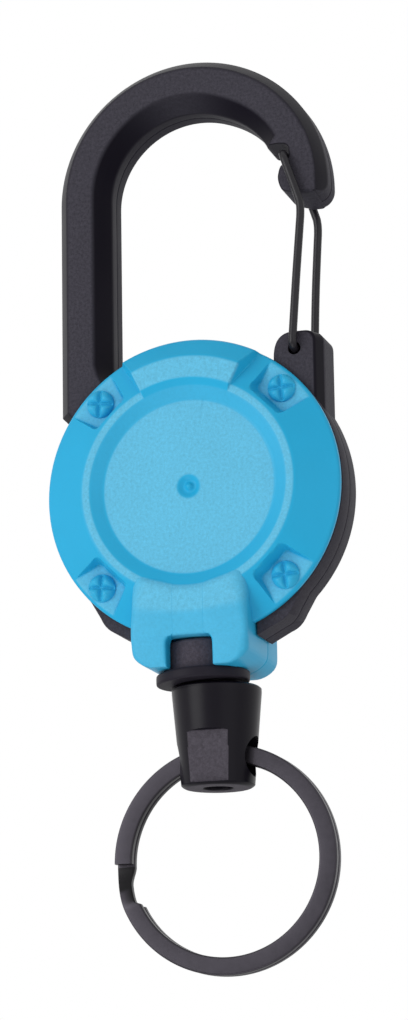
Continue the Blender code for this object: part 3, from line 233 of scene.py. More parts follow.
def rgb(display):
    """Shader colour from display values of 0 to 255."""
    shown = np.array(display) / 255.0
    linear = np.where(shown < 0.04045, shown / 12.92, ((shown + 0.055) / 1.055) ** 2.4)
    return (*map(float, linear), 1.0)


def moulded(name, smooth, grained, roughness, depth_mm, speck=0.55, specular=0.5):
    """Moulded plastic: grained flats and smooth slopes, told apart by the grain attribute,
    which in places also carries painted light.

    Colour goes from smooth to grained with the attribute; a fine noise lightens single
    grains by up to the speck share and bumps them, and a slow noise varies the whole.
    """
    finish = Finish(name, Specular_IOR_Level=specular)
    grain = finish.attribute("grain")
    fine = finish.noise(0.16, 3.0)
    coarse = finish.noise(0.42, 1.0)
    slow = finish.noise(7.0)
    speckle = fine * 0.5 + coarse * 0.5
    colour = finish.mix(grain, rgb(smooth), rgb(grained))
    bright = 1.0 + (speckle - 0.5) * (0.06 + grain * speck) + (slow - 0.5) * 0.10
    rough = roughness[0] + grain * (roughness[1] - roughness[0]) + (slow - 0.5) * 0.08
    height = speckle * (0.08 + grain * 0.92)
    return finish.surface(finish.tint(colour, bright), rough, height, depth_mm)


def metal(name, colour, roughness, streak_mm, stretch, painted_shade=False, **constants):
    """Metal or coated wire: noise drawn out along one direction, in colour and gloss.

    When the shade flag is set, the grain attribute darkens the colour as it falls from 1 to 0:
    painted shade.
    """
    finish = Finish(name, **{"Metallic": 1.0, **constants})
    drawn = finish.node("Mapping", {}, {"Vector": finish.place(), "Scale": stretch})
    streaks = finish.noise(streak_mm, 3.0, drawn)
    fine = finish.noise(0.12)
    slow = finish.noise(5.0)
    bright = 1.0 + (streaks - 0.5) * 0.30 + (fine - 0.5) * 0.14 + (slow - 0.5) * 0.16
    # Painted shade: darker where the attribute is low.
    if painted_shade:
        bright = bright * (0.12 + 0.88 * finish.attribute("grain"))
    rough = roughness + (streaks - 0.5) * 0.16 + (slow - 0.5) * 0.10
    height = streaks * 0.6 + fine * 0.4
    return finish.surface(finish.tint(rgb(colour), bright), rough, height, 0.006)


def braid(name, dark, light):
    """Braided cord: two sets of strands cross on the piece's UV map, round and along."""
    finish = Finish(name, Sheen_Weight=0.3)
    along = finish.node("UVMap", {"uv_map": "UVMap"})
    split = finish.node("SeparateXYZ", {}, {0: along}).socket.node
    u, v = Value(finish, split.outputs[0]), Value(finish, split.outputs[1])
    strands = None
    for hand in (1.0, -1.0):
        phase = (u * (4.0 * hand) + v) * (2.0 * math.pi)
        wave = finish.node("Math", {"operation": 'SINE'}, {0: phase})
        strands = wave if strands is None else finish.larger(strands, wave)
    height = strands * 0.5 + 0.5
    fibre = finish.noise(0.08)
    colour = finish.mix(height * 0.8 + fibre * 0.2, rgb(dark), rgb(light))
    return finish.surface(colour, 0.72 + fibre * 0.2, height, 0.05)


def skin(points, loop=False):
    """A grid whose rows are rings, as coordinates, point numbers and quads.

    The first column is repeated at the end of each row; loop joins the last row to the
    first in the same way.
    """
    rows, cols = points.shape[:2]
    index = np.arange(rows * cols).reshape(rows, cols)
    index = np.concatenate([index, index[:, :1]], axis=1)
    if loop:
        index = np.concatenate([index, index[:1]], axis=0)
    quads = np.stack([index[:-1, :-1], index[:-1, 1:], index[1:, 1:], index[1:, :-1]],
                     axis=-1).reshape(-1, 4)
    return points.reshape(-1, 3), index, quads


def inside_out(coords, quads):
    """Whether quads point inwards: six times their volume is the sum of each triangle's
    triple product, and it is less than zero.
    """
    a, b, c, d = (coords[quads[:, k]] for k in range(4))
    return (np.einsum('ij,ij->i', a, np.cross(b, c)).sum()
            + np.einsum('ij,ij->i', a, np.cross(c, d)).sum()) < 0


def mesh_of(name, coords, faces):
    """A mesh in metres about the frame's origin, from millimetres about the reel's axis."""
    mesh = bpy.data.meshes.new(name)
    mesh.from_pydata((coords * MM - (0.0, 0.0, REEL_DROP * MM)).tolist(), [], faces)
    return mesh


def read(items, field, width=1, kind=np.int32):
    """One field of all items of a mesh."""
    values = np.zeros(width * len(items), dtype=kind)
    items.foreach_get(field, values)
    return values


def wrap_round(mesh, rows, cols, along):
    """UV map: u runs once round each row, and v is along, one value a row.

    A face that crosses the seam takes 1 and not 0 on its far side.
    """
    place = read(mesh.loops, "vertex_index")
    column = place % cols
    highest = np.maximum.reduceat(column, read(mesh.polygons, "loop_start"))
    highest = highest.repeat(read(mesh.polygons, "loop_total"))
    column = np.where((column == 0) & (highest == cols - 1), cols, column)
    row = np.minimum(place // cols, rows - 1)
    flat = np.stack([column / cols, along[row]], axis=-1).astype(np.float32)
    mesh.uv_layers.new(name="UVMap").data.foreach_set("uv", flat.reshape(-1))


def full_turn(count):
    """Angles of a whole turn, in equal steps."""
    return np.linspace(0, 2 * math.pi, count, endpoint=False)


def polar(radius, angle):
    """The two coordinates of places at a radius and an angle."""
    return radius * np.cos(angle), radius * np.sin(angle)


def joined(*parts):
    """Coordinates side by side, each a number or an array, as points."""
    return np.stack(np.broadcast_arrays(*parts), axis=-1)


def piece(name, points, finish, body, slot, ends="fan", grain=None, along=None, sharp=32):
    """A closed skin over a grid of points, rows by columns by three, in millimetres.

    Each row is a ring. ends closes the first and last row: "fan" by a point in its middle,
    "fold" by quads between its first half and its second half taken backwards, and "loop"
    by joining the two rows. The grain values, which in places carry painted light, and along
    give an attribute and a UV map.
    """
    rows, cols = points.shape[:2]
    coords, index, quads = skin(points, ends == "loop")
    faces = [quads]
    for row, number, turn in ((index[0], len(coords), 1), (index[-1], len(coords) + 1, -1)):
        if ends == "fan":
            middle = np.full(cols, number)
            corners = [row[1:], row[:-1], middle, middle]
        if ends == "fold":
            half = cols // 2
            first, second = row[:half], row[cols - 1:cols - 1 - half:-1]
            corners = [first[1:], first[:-1], second[:-1], second[1:]]
        if ends != "loop":
            faces.append(np.stack(corners, axis=-1)[:, ::turn])
    if ends == "fan":
        coords = np.concatenate([coords, points[[0, -1]].mean(axis=1)])
    quads = np.concatenate(faces)
    if inside_out(coords, quads):
        quads = quads[:, ::-1]
    polygons = [[v for k, v in enumerate(quad) if v != quad[k - 1]] for quad in quads.tolist()]
    mesh = mesh_of(name, coords, polygons)
    if grain is not None:
        values = np.zeros(len(coords), dtype=np.float32)
        values[:rows * cols] = np.broadcast_to(grain, (rows, cols)).reshape(-1)
        if ends == "fan":
            values[rows * cols:] = values[[0, (rows - 1) * cols]]
        mesh.attributes.new("grain", 'FLOAT', 'POINT').data.foreach_set("value", values)
    if along is not None:
        wrap_round(mesh, rows, cols, along)
    mesh.shade_smooth()
    mesh.set_sharp_from_angle(angle=math.radians(sharp))
    mesh.materials.append(finish)
    made = placed(name, mesh)
    if body:
        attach(made, body)
    return made


def cut(target, cutters, sharp=32):
    """Cuts closed meshes out of a piece and keeps the result as its mesh."""
    for points in cutters:
        tool = placed("cutter", closed_tube(points))
        step = target.modifiers.new("cut", 'BOOLEAN')
        step.object = tool
        step.solver = 'EXACT'
        bpy.context.view_layer.update()
        done = target.evaluated_get(bpy.context.evaluated_depsgraph_get())
        result = bpy.data.meshes.new_from_object(done)
        target.modifiers.clear()
        target.data = result
        bpy.data.objects.remove(tool)
    target.data.shade_smooth()
    target.data.set_sharp_from_angle(angle=math.radians(sharp))


def closed_tube(points):
    """A plain closed mesh of a cutter: rows of points, each row a ring, ends filled."""
    coords, index, quads = skin(points)
    faces = quads.tolist() + [index[0, :-1][::-1].tolist(), index[-1, :-1].tolist()]
    if inside_out(coords, quads):
        faces = [face[::-1] for face in faces]
    return mesh_of("cutter", coords, faces)


def bar(radius, start, end, sides=48):
    """Rings of points round a straight line between two points: a round cutter."""
    start, end = np.array(start, float), np.array(end, float)
    along = (end - start) / np.linalg.norm(end - start)
    first = np.cross(along, np.eye(3)[np.argmin(np.abs(along))])
    first /= np.linalg.norm(first)
    second = np.cross(along, first)
    turn = full_turn(sides)[:, None]
    circle = radius * (np.cos(turn) * first + np.sin(turn) * second)
    return np.stack([start + circle, end + circle])


def soften(corners, radii, edge_grain=0.0, steps=4):
    """Rounds the corners of a closed profile, for all rows at once.

    A corner is a pair of numbers, or of arrays with one value a row. It becomes a quadratic
    curve from a point radius before it to a point radius after it, so point(t) = (1-t)^2 A
    + 2t(1-t) C + t^2 B. Along it the grain value, which in places carries painted shade,
    blends from one edge's to the next edge's.
    """
    def towards(shift):
        """Points at the radius from each corner on the way to its neighbour."""
        edge = np.roll(corners, shift, axis=1) - corners
        length = np.linalg.norm(edge, axis=2, keepdims=True)
        return corners + edge * np.minimum(radii / np.maximum(length, 1e-9), 0.49)

    corners = np.stack([joined(*corner) for corner in corners], axis=-2)
    corners = corners.reshape(-1, *corners.shape[-2:])
    rows, count = corners.shape[:2]
    radii = np.broadcast_to(np.asarray(radii, float), (rows, count))[..., None]
    first, last = towards(1), towards(-1)
    share = np.linspace(0, 1, steps + 1)
    t = share[:, None]
    curve = ((1 - t) ** 2 * first[:, :, None] + 2 * t * (1 - t) * corners[:, :, None]
             + t ** 2 * last[:, :, None])
    edges = np.broadcast_to(np.asarray(edge_grain, float), count)
    grain = np.roll(edges, 1)[:, None] * (1 - share) + edges[:, None] * share
    return curve.reshape(rows, count * (steps + 1), 2), grain.reshape(-1)


def spaced(*runs):
    """Stations along a line: each run is (end, count) from the last end."""
    stations = [np.array([runs[0]], float)]
    for end, count in runs[1:]:
        stations.append(np.linspace(stations[-1][-1], end, count + 1)[1:])
    return np.concatenate(stations)


def smooth_max(a, b, width):
    """The larger of two heights, with a fillet where they cross.

    It is b + s (a - b) + width s (1 - s) / 2, and s grows from 0 to 1 as a - b goes from
    -width to width.
    """
    share = np.clip(0.5 + 0.5 * (a - b) / width, 0, 1)
    return b + (a - b) * share + width * share * (1 - share) * 0.5


def smooth_min(a, b, width):
    """The smaller of two heights, with a fillet where they cross."""
    return -smooth_max(-a, -b, width)


def ramp(x, start, end):
    """0 before start, 1 after end, and t^2 (3 - 2t) between."""
    t = np.clip((x - start) / (end - start), 0, 1)
    return t * t * (3 - 2 * t)


def fall(x, start, end):
    """1 before start, 0 after end: one less the ramp."""
    return 1 - ramp(x, start, end)


def curve_through(points, per_span):
    """Catmull-Rom curve through points, as one array."""
    points = np.asarray(points, float)
    padded = np.concatenate([2 * points[:1] - points[1:2], points,
                             2 * points[-1:] - points[-2:-1]])
    t = np.linspace(0, len(points) - 1, (len(points) - 1) * per_span + 1)
    i = np.minimum(t.astype(int), len(points) - 2)
    u = (t - i)[:, None]
    a, b, c, d = (padded[i + k] for k in range(4))
    return 0.5 * (2 * b + (c - a) * u + (2 * a - 5 * b + 4 * c - d) * u ** 2
                  + (3 * b - a - 3 * c + d) * u ** 3)


def round_tube(path, radius, sides):
    """A circle carried along a path: the circle stands across the path's direction.

    One axis is x less its part along the path, the other their cross product. The ends are
    rounded by rings that shrink as the cosine and move on as the sine.
    """
    heading = np.gradient(path, axis=0)
    heading /= np.linalg.norm(heading, axis=1, keepdims=True)
    dome = np.linspace(0, math.pi / 2, 5)[1:-1]
    lead = path[0] - heading[0] * radius * np.sin(dome[::-1])[:, None]
    tail = path[-1] + heading[-1] * radius * np.sin(dome)[:, None]
    centres = np.concatenate([lead, path, tail])
    scale = np.concatenate([np.cos(dome[::-1]), np.ones(len(path)), np.cos(dome)])
    heading = np.pad(heading, ((len(dome), len(dome)), (0, 0)), 'edge')
    x_axis = np.array([1.0, 0.0, 0.0])
    first = x_axis - heading * (heading @ x_axis)[:, None]
    first /= np.linalg.norm(first, axis=1, keepdims=True)
    second = np.cross(heading, first)
    turn = full_turn(sides)[None, :, None]
    circle = np.cos(turn) * first[:, None] + np.sin(turn) * second[:, None]
    return centres[:, None] + circle * (radius * scale)[:, None, None]


def quarter(share):
    """1 where share is 0 or less, falling as a quarter circle to 0 where it is 1 or more."""
    return np.sqrt(1 - np.clip(share, 0, 1) ** 2)


def angle_from(angle, middle):
    """Signed angle from a middle angle, the short way round."""
    return np.angle(np.exp(1j * (angle - middle)))


def crowded_angles():
    """Angles about the reel, crowded at the pockets and at the brow's ends.

    The density of stations is one plus humps at the chosen angles, and the stations are
    where its running sum crosses equal steps.
    """
    pocket_sides = [corner + side for corner in (45, 135, 225, 315) for side in (-10.5, 10.5)]
    brow_ends = (90 - BROW_HALF_ANGLE, 90 + BROW_HALF_ANGLE)
    fine = np.linspace(0, 2 * math.pi, 7201)
    density = np.ones_like(fine)
    for places, crowding, spread in ((pocket_sides, 2.6, 2.2), (brow_ends, 4.5, 1.6)):
        for place in places:
            gap = angle_from(fine, math.radians(place))
            density += crowding * np.exp(-(gap / math.radians(spread)) ** 2)
    total = np.concatenate([[0], np.cumsum((density[1:] + density[:-1]) / 2)])
    return np.interp(np.linspace(0, total[-1], 640, endpoint=False), total, fine)


def reach_limit(angle):
    """Outer radius of the covers: full, but 1.2 less where the nose hides them."""
    off = np.abs(angle_from(angle, -math.pi / 2))
    return COVER - 1.2 * fall(off, math.radians(17), math.radians(21))


def pocket_distance(x, z):
    """Distance outside the four flared pockets, less than zero inside.

    Along each diagonal v a pocket starts at 16.3, where its sides stand 2.65 off the
    diagonal, and from there they lean outwards by 18 degrees.
    """
    u = (np.abs(x) - np.abs(z)) / math.sqrt(2)
    v = (np.abs(x) + np.abs(z)) / math.sqrt(2)
    flare = math.radians(18)
    side = (np.abs(u) - 2.65 - (v - 16.3) * math.tan(flare)) * math.cos(flare)
    return smooth_max(side, 16.3 - v, 1.0)


def rim_fall(radius):
    """How far a cover's face falls at its rounded rim, a quarter circle of 0.3."""
    return 0.3 * (1 - quarter((radius - COVER + 0.3) / 0.3))


def front_height(radius, angle):
    """Depth of the front face in front of the middle plane, and its grain, with painted light
    on the panel's wall, lighter towards the top.

    The turned shell is a band at 7.6 with a slope of 0.475 down to the rim. The brow is a
    plate at 8.1 with a slope of 0.76 outside and soft ends. The larger of the two is cut by
    the panel at 6.7 with its slope of one half, and by the pockets with their steep walls.
    """
    x, z = polar(radius, angle)
    body = smooth_min(7.6, 7.6 - (radius - 15.3) * 0.475, 0.25)
    off_top = np.abs(angle_from(angle, math.pi / 2))
    end = radius * np.sin(math.radians(BROW_HALF_ANGLE) - off_top)
    brow = smooth_min(8.1 - (radius - 18.4) * 0.76, 8.1, 0.3)
    brow = smooth_min(brow, 7.2 + end * 2.6, 0.5)
    height = smooth_max(body, brow, 0.35)
    wall = smooth_max(6.7 + (radius - 12.4) * 0.5, 6.7, 0.2)
    height = smooth_min(height, wall, 0.2)
    outside = pocket_distance(x, z)
    pocket = smooth_max(POCKET_FLOOR, POCKET_FLOOR + 4.2 * outside, 0.45)
    height = np.where(radius > 15.0, smooth_min(height, pocket, 0.3), height)
    dimple = 0.45 * fall(radius, 0.75, 1.75) - 0.55 * fall(radius, 0.15, 0.8)
    gate_mark = np.hypot(x - 2.4, (z - 11.7) * 0.45)
    height = height - dimple - 0.12 * fall(gate_mark, 0.1, 0.35) - rim_fall(radius)
    flat_panel = fall(radius, 12.1, 12.45)
    flat_band = ramp(radius, 14.1, 14.35) * fall(radius, 15.1, 15.4)
    in_brow = ramp(end, 0.1, 0.3)
    flat_brow = ramp(radius, 15.15, 15.45) * fall(radius, 18.1, 18.5) * in_brow
    flat_pocket = fall(outside, -0.35, 0.0) * fall(radius, 20.6, 20.9) * 0.8
    # Painted light: the panel's wall gets a lighter grained tone, most at the top.
    panel_wall_painted_light = 0.13 * (1 + np.sin(angle)) * fall(radius, 14.1, 14.4)
    grain = np.maximum.reduce([flat_panel, flat_band * (1 - in_brow), flat_brow, flat_pocket,
                               panel_wall_painted_light])
    return height, grain * ramp(radius, 1.5, 1.9)


def rear_height(radius, angle):
    """Depth of the back behind the middle plane: flat, slope, and four round counterbores."""
    x, z = np.abs(polar(radius, angle))
    height = smooth_min(8.1 - (radius - 15.2) * 0.55, 8.1, 0.3)
    hole = np.hypot(x - SCREW, z - SCREW) - 2.2
    height = smooth_min(height, smooth_max(5.0, 5.0 + 9.0 * hole, 0.15), 0.15)
    return height - rim_fall(radius), fall(radius, 14.9, 15.3)


def inner_skin(roof):
    """(radius, depth) steps inside a cover: rim, spigot, cavity, roof and axle's seat."""
    return [(COVER, 4.3), (COVER, FLANGE), (15.85, FLANGE), (SPIGOT, FLANGE), (SPIGOT, 0.3),
            (SPIGOT, 0.15), (CAVITY, 0.15), (CAVITY, 0.4), (CAVITY, roof), (14.6, roof),
            (1.9, roof), (1.9, roof + 0.7), (0.08, roof + 0.7)]


def shell(name, outside, rows, roof, side, drawn, blue):
    """A shell on a polar grid: out over its face, down the rim, and back inside.

    Rows run from the middle to the rim on the outer face, then inwards along the inner
    steps, so that the shell is one closed skin. side is -1 in front and 1 behind, and
    drawn is the share by which the rim is drawn in.
    """
    angle = crowded_angles()
    limit = reach_limit(angle)
    keep = ramp(rows, 16.5, 20.0)[:, None]
    radius = rows[:, None] * (1 - keep) + rows[:, None] / COVER * limit[None] * keep
    height, grain = outside(radius, np.broadcast_to(angle, radius.shape))
    inner = np.array(inner_skin(roof))
    inner_radius = np.minimum(inner[:, :1], limit[None] - 0.02 * (inner[:, :1] < COVER))
    radius = np.concatenate([radius, inner_radius])
    height = np.concatenate([height, np.broadcast_to(inner[:, 1:], inner_radius.shape)])
    grain = np.concatenate([grain, np.zeros_like(inner_radius)])
    x, z = polar(radius, angle)
    shrink = 1 - drawn * ramp(np.hypot(x, z), 16.5, 20.5)
    return piece(name, joined(x * shrink, side * height, z * shrink), blue, "housing",
                 "sky_blue_abs", grain=grain, sharp=40)


def covers(blue):
    """The two shells. The rear one's rim is drawn in by 2.4%, behind the frame's ring."""
    rows = spaced(0.08, (2.2, 14), (12.0, 5), (12.8, 8), (13.9, 3), (14.6, 7), (15.0, 2),
                  (15.7, 6), (16.8, 8), (18.0, 5), (18.9, 8), (20.4, 8), (21.1, 6), (COVER, 6))
    front = shell("front_shell", front_height, rows, 5.3, -1, 0.0, blue)
    rows = spaced(0.08, (14.8, 8), (15.6, 6), (16.4, 3), (17.0, 8), (20.8, 40), (21.1, 4),
                  (COVER, 6))
    return front, shell("rear_shell", rear_height, rows, 6.7, 1, 0.024, blue)


def head_grid(reach, stations, sides):
    """A round head's grid: angles, radii, and the sizes of its two coordinates."""
    turn = full_turn(sides)
    radius = reach * stations[:, None] * np.ones_like(turn)
    return turn, radius, *np.abs(polar(radius, turn))


def at_corners(name, turn, radius, depth, tilts, finish, slot, **looks):
    """One turned form at each of the four screws, tilted there by its own angle."""
    made = []
    places = SCREW * np.array([(-1, 1), (1, 1), (-1, -1), (1, -1)])
    for number, (middle, tilt) in enumerate(zip(places, tilts), start=1):
        x, z = polar(radius, turn + tilt)
        points = joined(middle[0] + x, depth, middle[1] + z)
        made.append(piece(f"{name}_{number}", points, finish, "housing", slot, **looks))
    return made


def moulded_heads(blue):
    """Four round heads in the front pockets, each parted by a soft cross.

    Height over the floor is 0.75 of a round shoulder at the edge plus 0.35 exp(-(far/0.7)^2),
    where far is the distance from the nearest lobe's middle at |u| = |v| = 0.8, less
    0.42 exp(-(arm/0.27)^2) in the cross, where arm is the smaller of |u| and |v|.
    """
    head_radius, inside, skirt = 2.0, 0.02, -0.35
    s = spaced(inside, (0.86, 30), (1.0, 10))
    turn, radius, u, v = head_grid(head_radius, s, 160)
    far = np.hypot(u - 0.8, v - 0.8)
    shoulder = quarter((s[:, None] - 0.6) / 0.4)
    groove = np.exp(-(np.minimum(u, v) / 0.27) ** 2) * fall(radius, 1.7, 2.0)
    height = 0.75 * shoulder + 0.35 * np.exp(-(far / 0.7) ** 2) - 0.42 * groove
    radius = np.concatenate([radius, radius[-1:], np.full((1, len(turn)), inside)])
    height = np.concatenate([height, np.full((2, len(turn)), skirt)])
    at_corners("moulded_head", turn, radius, -POCKET_FLOOR - height,
               np.radians([-5, 5, -5, 5]), blue, "sky_blue_abs", grain=0.12, sharp=60)


def pan_screws(steel):
    """Four pan heads from behind: a rounded head with a cross recess, on a plain shank.

    Height over the seat is 1.1 with a shoulder that falls as a quarter circle; inside
    |u| or |v| under 0.25 and a radius under 1.1 it drops by 0.6.
    """
    head_radius, seat = 1.9, 5.3
    s = spaced(0.01, (0.7, 24), (1.0, 10))
    turn, radius, u, v = head_grid(head_radius, s, 96)
    recess = fall(np.minimum(u, v), 0.2, 0.32) * fall(radius, 1.05, 1.2)
    height = 1.1 - 0.62 * (1 - quarter((s[:, None] - 0.55) / 0.45)) - 0.6 * recess
    shank = np.array([(head_radius, 0.0), (0.8, 0.0), (0.8, -7.7), (0.02, -8.4)])
    radius = np.concatenate([radius, shank[:, :1] + 0 * turn])
    height = np.concatenate([height, shank[:, 1:] + 0 * turn])
    screws = at_corners("pan_screw", turn, radius, seat + height, 0.4 * np.arange(1, 5), steel,
                        "zinc_steel", sharp=40)
    for number, screw in enumerate(screws, start=1):
        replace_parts(screw, f"cover_screw_{number}")


def nose_rows():
    """The nose's rows from the panel down to its foot, by columns.

    They are the radius of the row's circle, its height, the depth of front and rear face,
    the half widths of nose and slot, how far the slot is open, and the roundings of the
    side edge and of the slot's lip. Three rows lie between one entry and the next.
    """
    lowest = np.array([22.8, 23.2, 23.6, 24.0, 24.4, 24.75, 25.0, 25.18, 25.27, 25.3])
    columns = {
        "ring": [13.2, 13.8, 14.2, 14.5, 14.75, 15.0, 15.4, 16.0, 17.0, 18.3, 19.0, 19.5, 20.3,
                 20.7, 20.9, 21.0, 21.1, 21.2, 21.3, 21.4, 21.5, 21.6, 21.8, 22.0, 22.4,
                 *lowest],
        "z": [-14.4, -14.8, -15.2, -15.4, -15.6, -15.8, -16.0, -16.5, -17.4, -18.3, -19.0,
              -19.5, -20.3, -20.65, -20.82, -20.95, -21.05, -21.1, -21.11, -21.12, -21.22,
              -21.4, -21.68, -21.95, -22.35, *-lowest],
        "front": [6.98, 7.36, 7.7, 7.96, 8.1, 8.17] + [8.2] * 4 + [8.19, 8.16, 8.11, 8.08,
                  8.07, 8.06, 8.05, 8.05, 8.04, 8.03, 8.03, 8.02, 8.0, 7.99, 7.96, 7.92, 7.89,
                  7.85, 7.81, 7.76, 7.7, 7.62, 7.52, 7.42, 7.28],
        "rear": [7.3, 7.6, 7.8, 7.9, 8.0, 8.05] + [8.1] * 23 + [8.08, 8.02, 7.94, 7.82, 7.7,
                 7.56],
        "half": [7.95, 8.02, 8.06, 8.1, 8.14, 8.17, 8.2, 8.27, 8.32, 8.36, 8.38] + [8.4] * 14
                + [8.38, 8.33, 8.19, 7.93, 7.52, 7.03, 6.58, 6.1, 5.78, 5.6],
        "slot": [2.2] * 13 + [2.22, 2.25, 2.3, 2.38, 2.46, 2.56, 2.68, 2.88, 3.06, 3.2, 3.27]
                + [3.3] * 11,
        "open": [0.0] * 18 + [0.5] + [1.0] * 16,
        "edge": [2.3] + [2.4] * 5 + [2.3, 2.15, 1.75, 1.4, 1.1, 1.0, 0.95] + [0.9] * 8
                + [0.95, 1.0, 1.1, 1.2, 1.25, 1.25, 1.2, 1.1, 1.0, 0.9, 0.8, 0.65, 0.5, 0.4],
        "lip": [0.01] * 14 + [0.04, 0.12, 0.24, 0.42, 0.42, 0.43, 0.45] + [0.5] * 7
               + [0.48, 0.45, 0.4, 0.33, 0.25, 0.15, 0.1],
    }
    last = len(columns["ring"]) - 1
    stations = np.linspace(0, last, last * 3 + 1)
    return {name: np.interp(stations, np.arange(last + 1), column)
            for name, column in columns.items()}


def nose(blue):
    """The nose: a C-shaped section carried down, round the bore and open at the slot.

    Each row is a loop of an outer half, from the slot's right edge round the outside to its
    left edge, and an inner half, back along the slot's walls and the bore. Above the slot
    the inner half lies on the front face. The rows follow the band's circle at the top and
    straighten as they go down; the underside folds the outer half onto the inner half.
    """
    row = nose_rows()
    w, f, b, c = row["half"], row["front"], row["rear"], row["slot"]
    seam, gap, dent, fine, steps = 2.5, 0.16, 0.14, 0.02, 6
    corners = [(c, 1.5 - f), (c, -f), (w, -f), (w, seam - gap), (w - dent, seam),
               (w, seam + gap), (w, b), (-w, b), (-w, seam + gap), (dent - w, seam),
               (-w, seam - gap), (-w, -f), (-c, -f), (-c, 1.5 - f)]
    radii = joined(0.0, row["lip"], row["edge"], fine, fine, fine, 0.8, 0.8, fine, fine, fine,
                   row["edge"], row["lip"], 0.0)
    grains = [0, 1, 0.25, 0.1, 0.1, 0.25, 1, 0.25, 0.1, 0.1, 0.25, 1, 0, 0]
    outer, grain = soften(corners, radii, grains, steps)
    outer, grain = outer[:, steps + 1:-steps - 1], grain[steps + 1:-steps - 1]
    half = outer.shape[1]
    share = np.linspace(0, 1, half)
    left, right = outer[:, -1:], outer[:, :1]
    line = left + (right - left) * (0.01 + 0.98 * share)[None, :, None]
    mouth = np.clip((np.minimum(share, 1 - share) + 0.01) / 0.11, 0, 1)
    opening = np.arccos(c / BORE)[:, None]
    turn = math.pi + opening - np.clip((share - 0.1) / 0.8, 0, 1) * (math.pi + 2 * opening)
    bore_x, bore_y = polar(BORE, turn)
    bore_y = bore_y + BORE_Y
    lip_x = np.where(share < 0.5, left[..., 0], right[..., 0])
    lip_y = left[..., 1]
    bored = joined(np.where(mouth < 1, lip_x, bore_x), lip_y + (bore_y - lip_y) * mouth)
    opened = row["open"][:, None, None]
    plan = np.concatenate([outer, line * (1 - opened) + bored * opened], axis=1)
    x, y = plan[..., 0], plan[..., 1]
    circle = row["ring"][:, None]
    bent = -np.sqrt(circle ** 2 - np.clip(x, -NOSE_HALF, NOSE_HALF) ** 2)
    straight = ramp(circle, 16.0, 19.4)
    z = bent * (1 - straight) + row["z"][:, None] * straight
    low = ramp(circle, 19.6, 20.3) * fall(circle, 21.8, 22.0)
    beside = ramp(np.abs(x), 3.2, 4.4) * (np.arange(2 * half) < half) * low
    z = z * (1 - beside) - circle * beside
    covered = (1 - row["open"])[:, None] * np.ones(half)
    grain = np.concatenate([np.broadcast_to(grain, covered.shape), covered], axis=1)
    grain = grain * (1 - 0.5 * ramp(circle, 17.3, 18.2)) * ramp(circle, 13.9, 14.3)
    piece("nose", joined(x, y, z), blue, "housing", "sky_blue_abs", "fold", grain, sharp=40)


def hook_rows():
    """Stations up the leg, over the arch and down to the tip.

    Each gives a base point and a direction in the middle plane: straight up with reach to
    the left, then half a turn, then straight down with reach to the right.
    """
    rise = spaced(7.0, (12.2, 14), (13.4, 10), (HOOK_HIGH - 0.4, 20), (HOOK_HIGH, 1))
    angle = spaced(0.0, (math.radians(148), 96), (math.radians(164), 64), (math.pi, 48))[1:]
    down = spaced(HOOK_HIGH, (TIP_END + 0.4, 30), (TIP_END + 0.12, 4))[1:]
    base_z = np.concatenate([rise, np.full(len(angle), HOOK_HIGH), down])
    turn = np.concatenate([np.zeros(len(rise)), angle, np.full(len(down), math.pi)])
    return base_z, turn


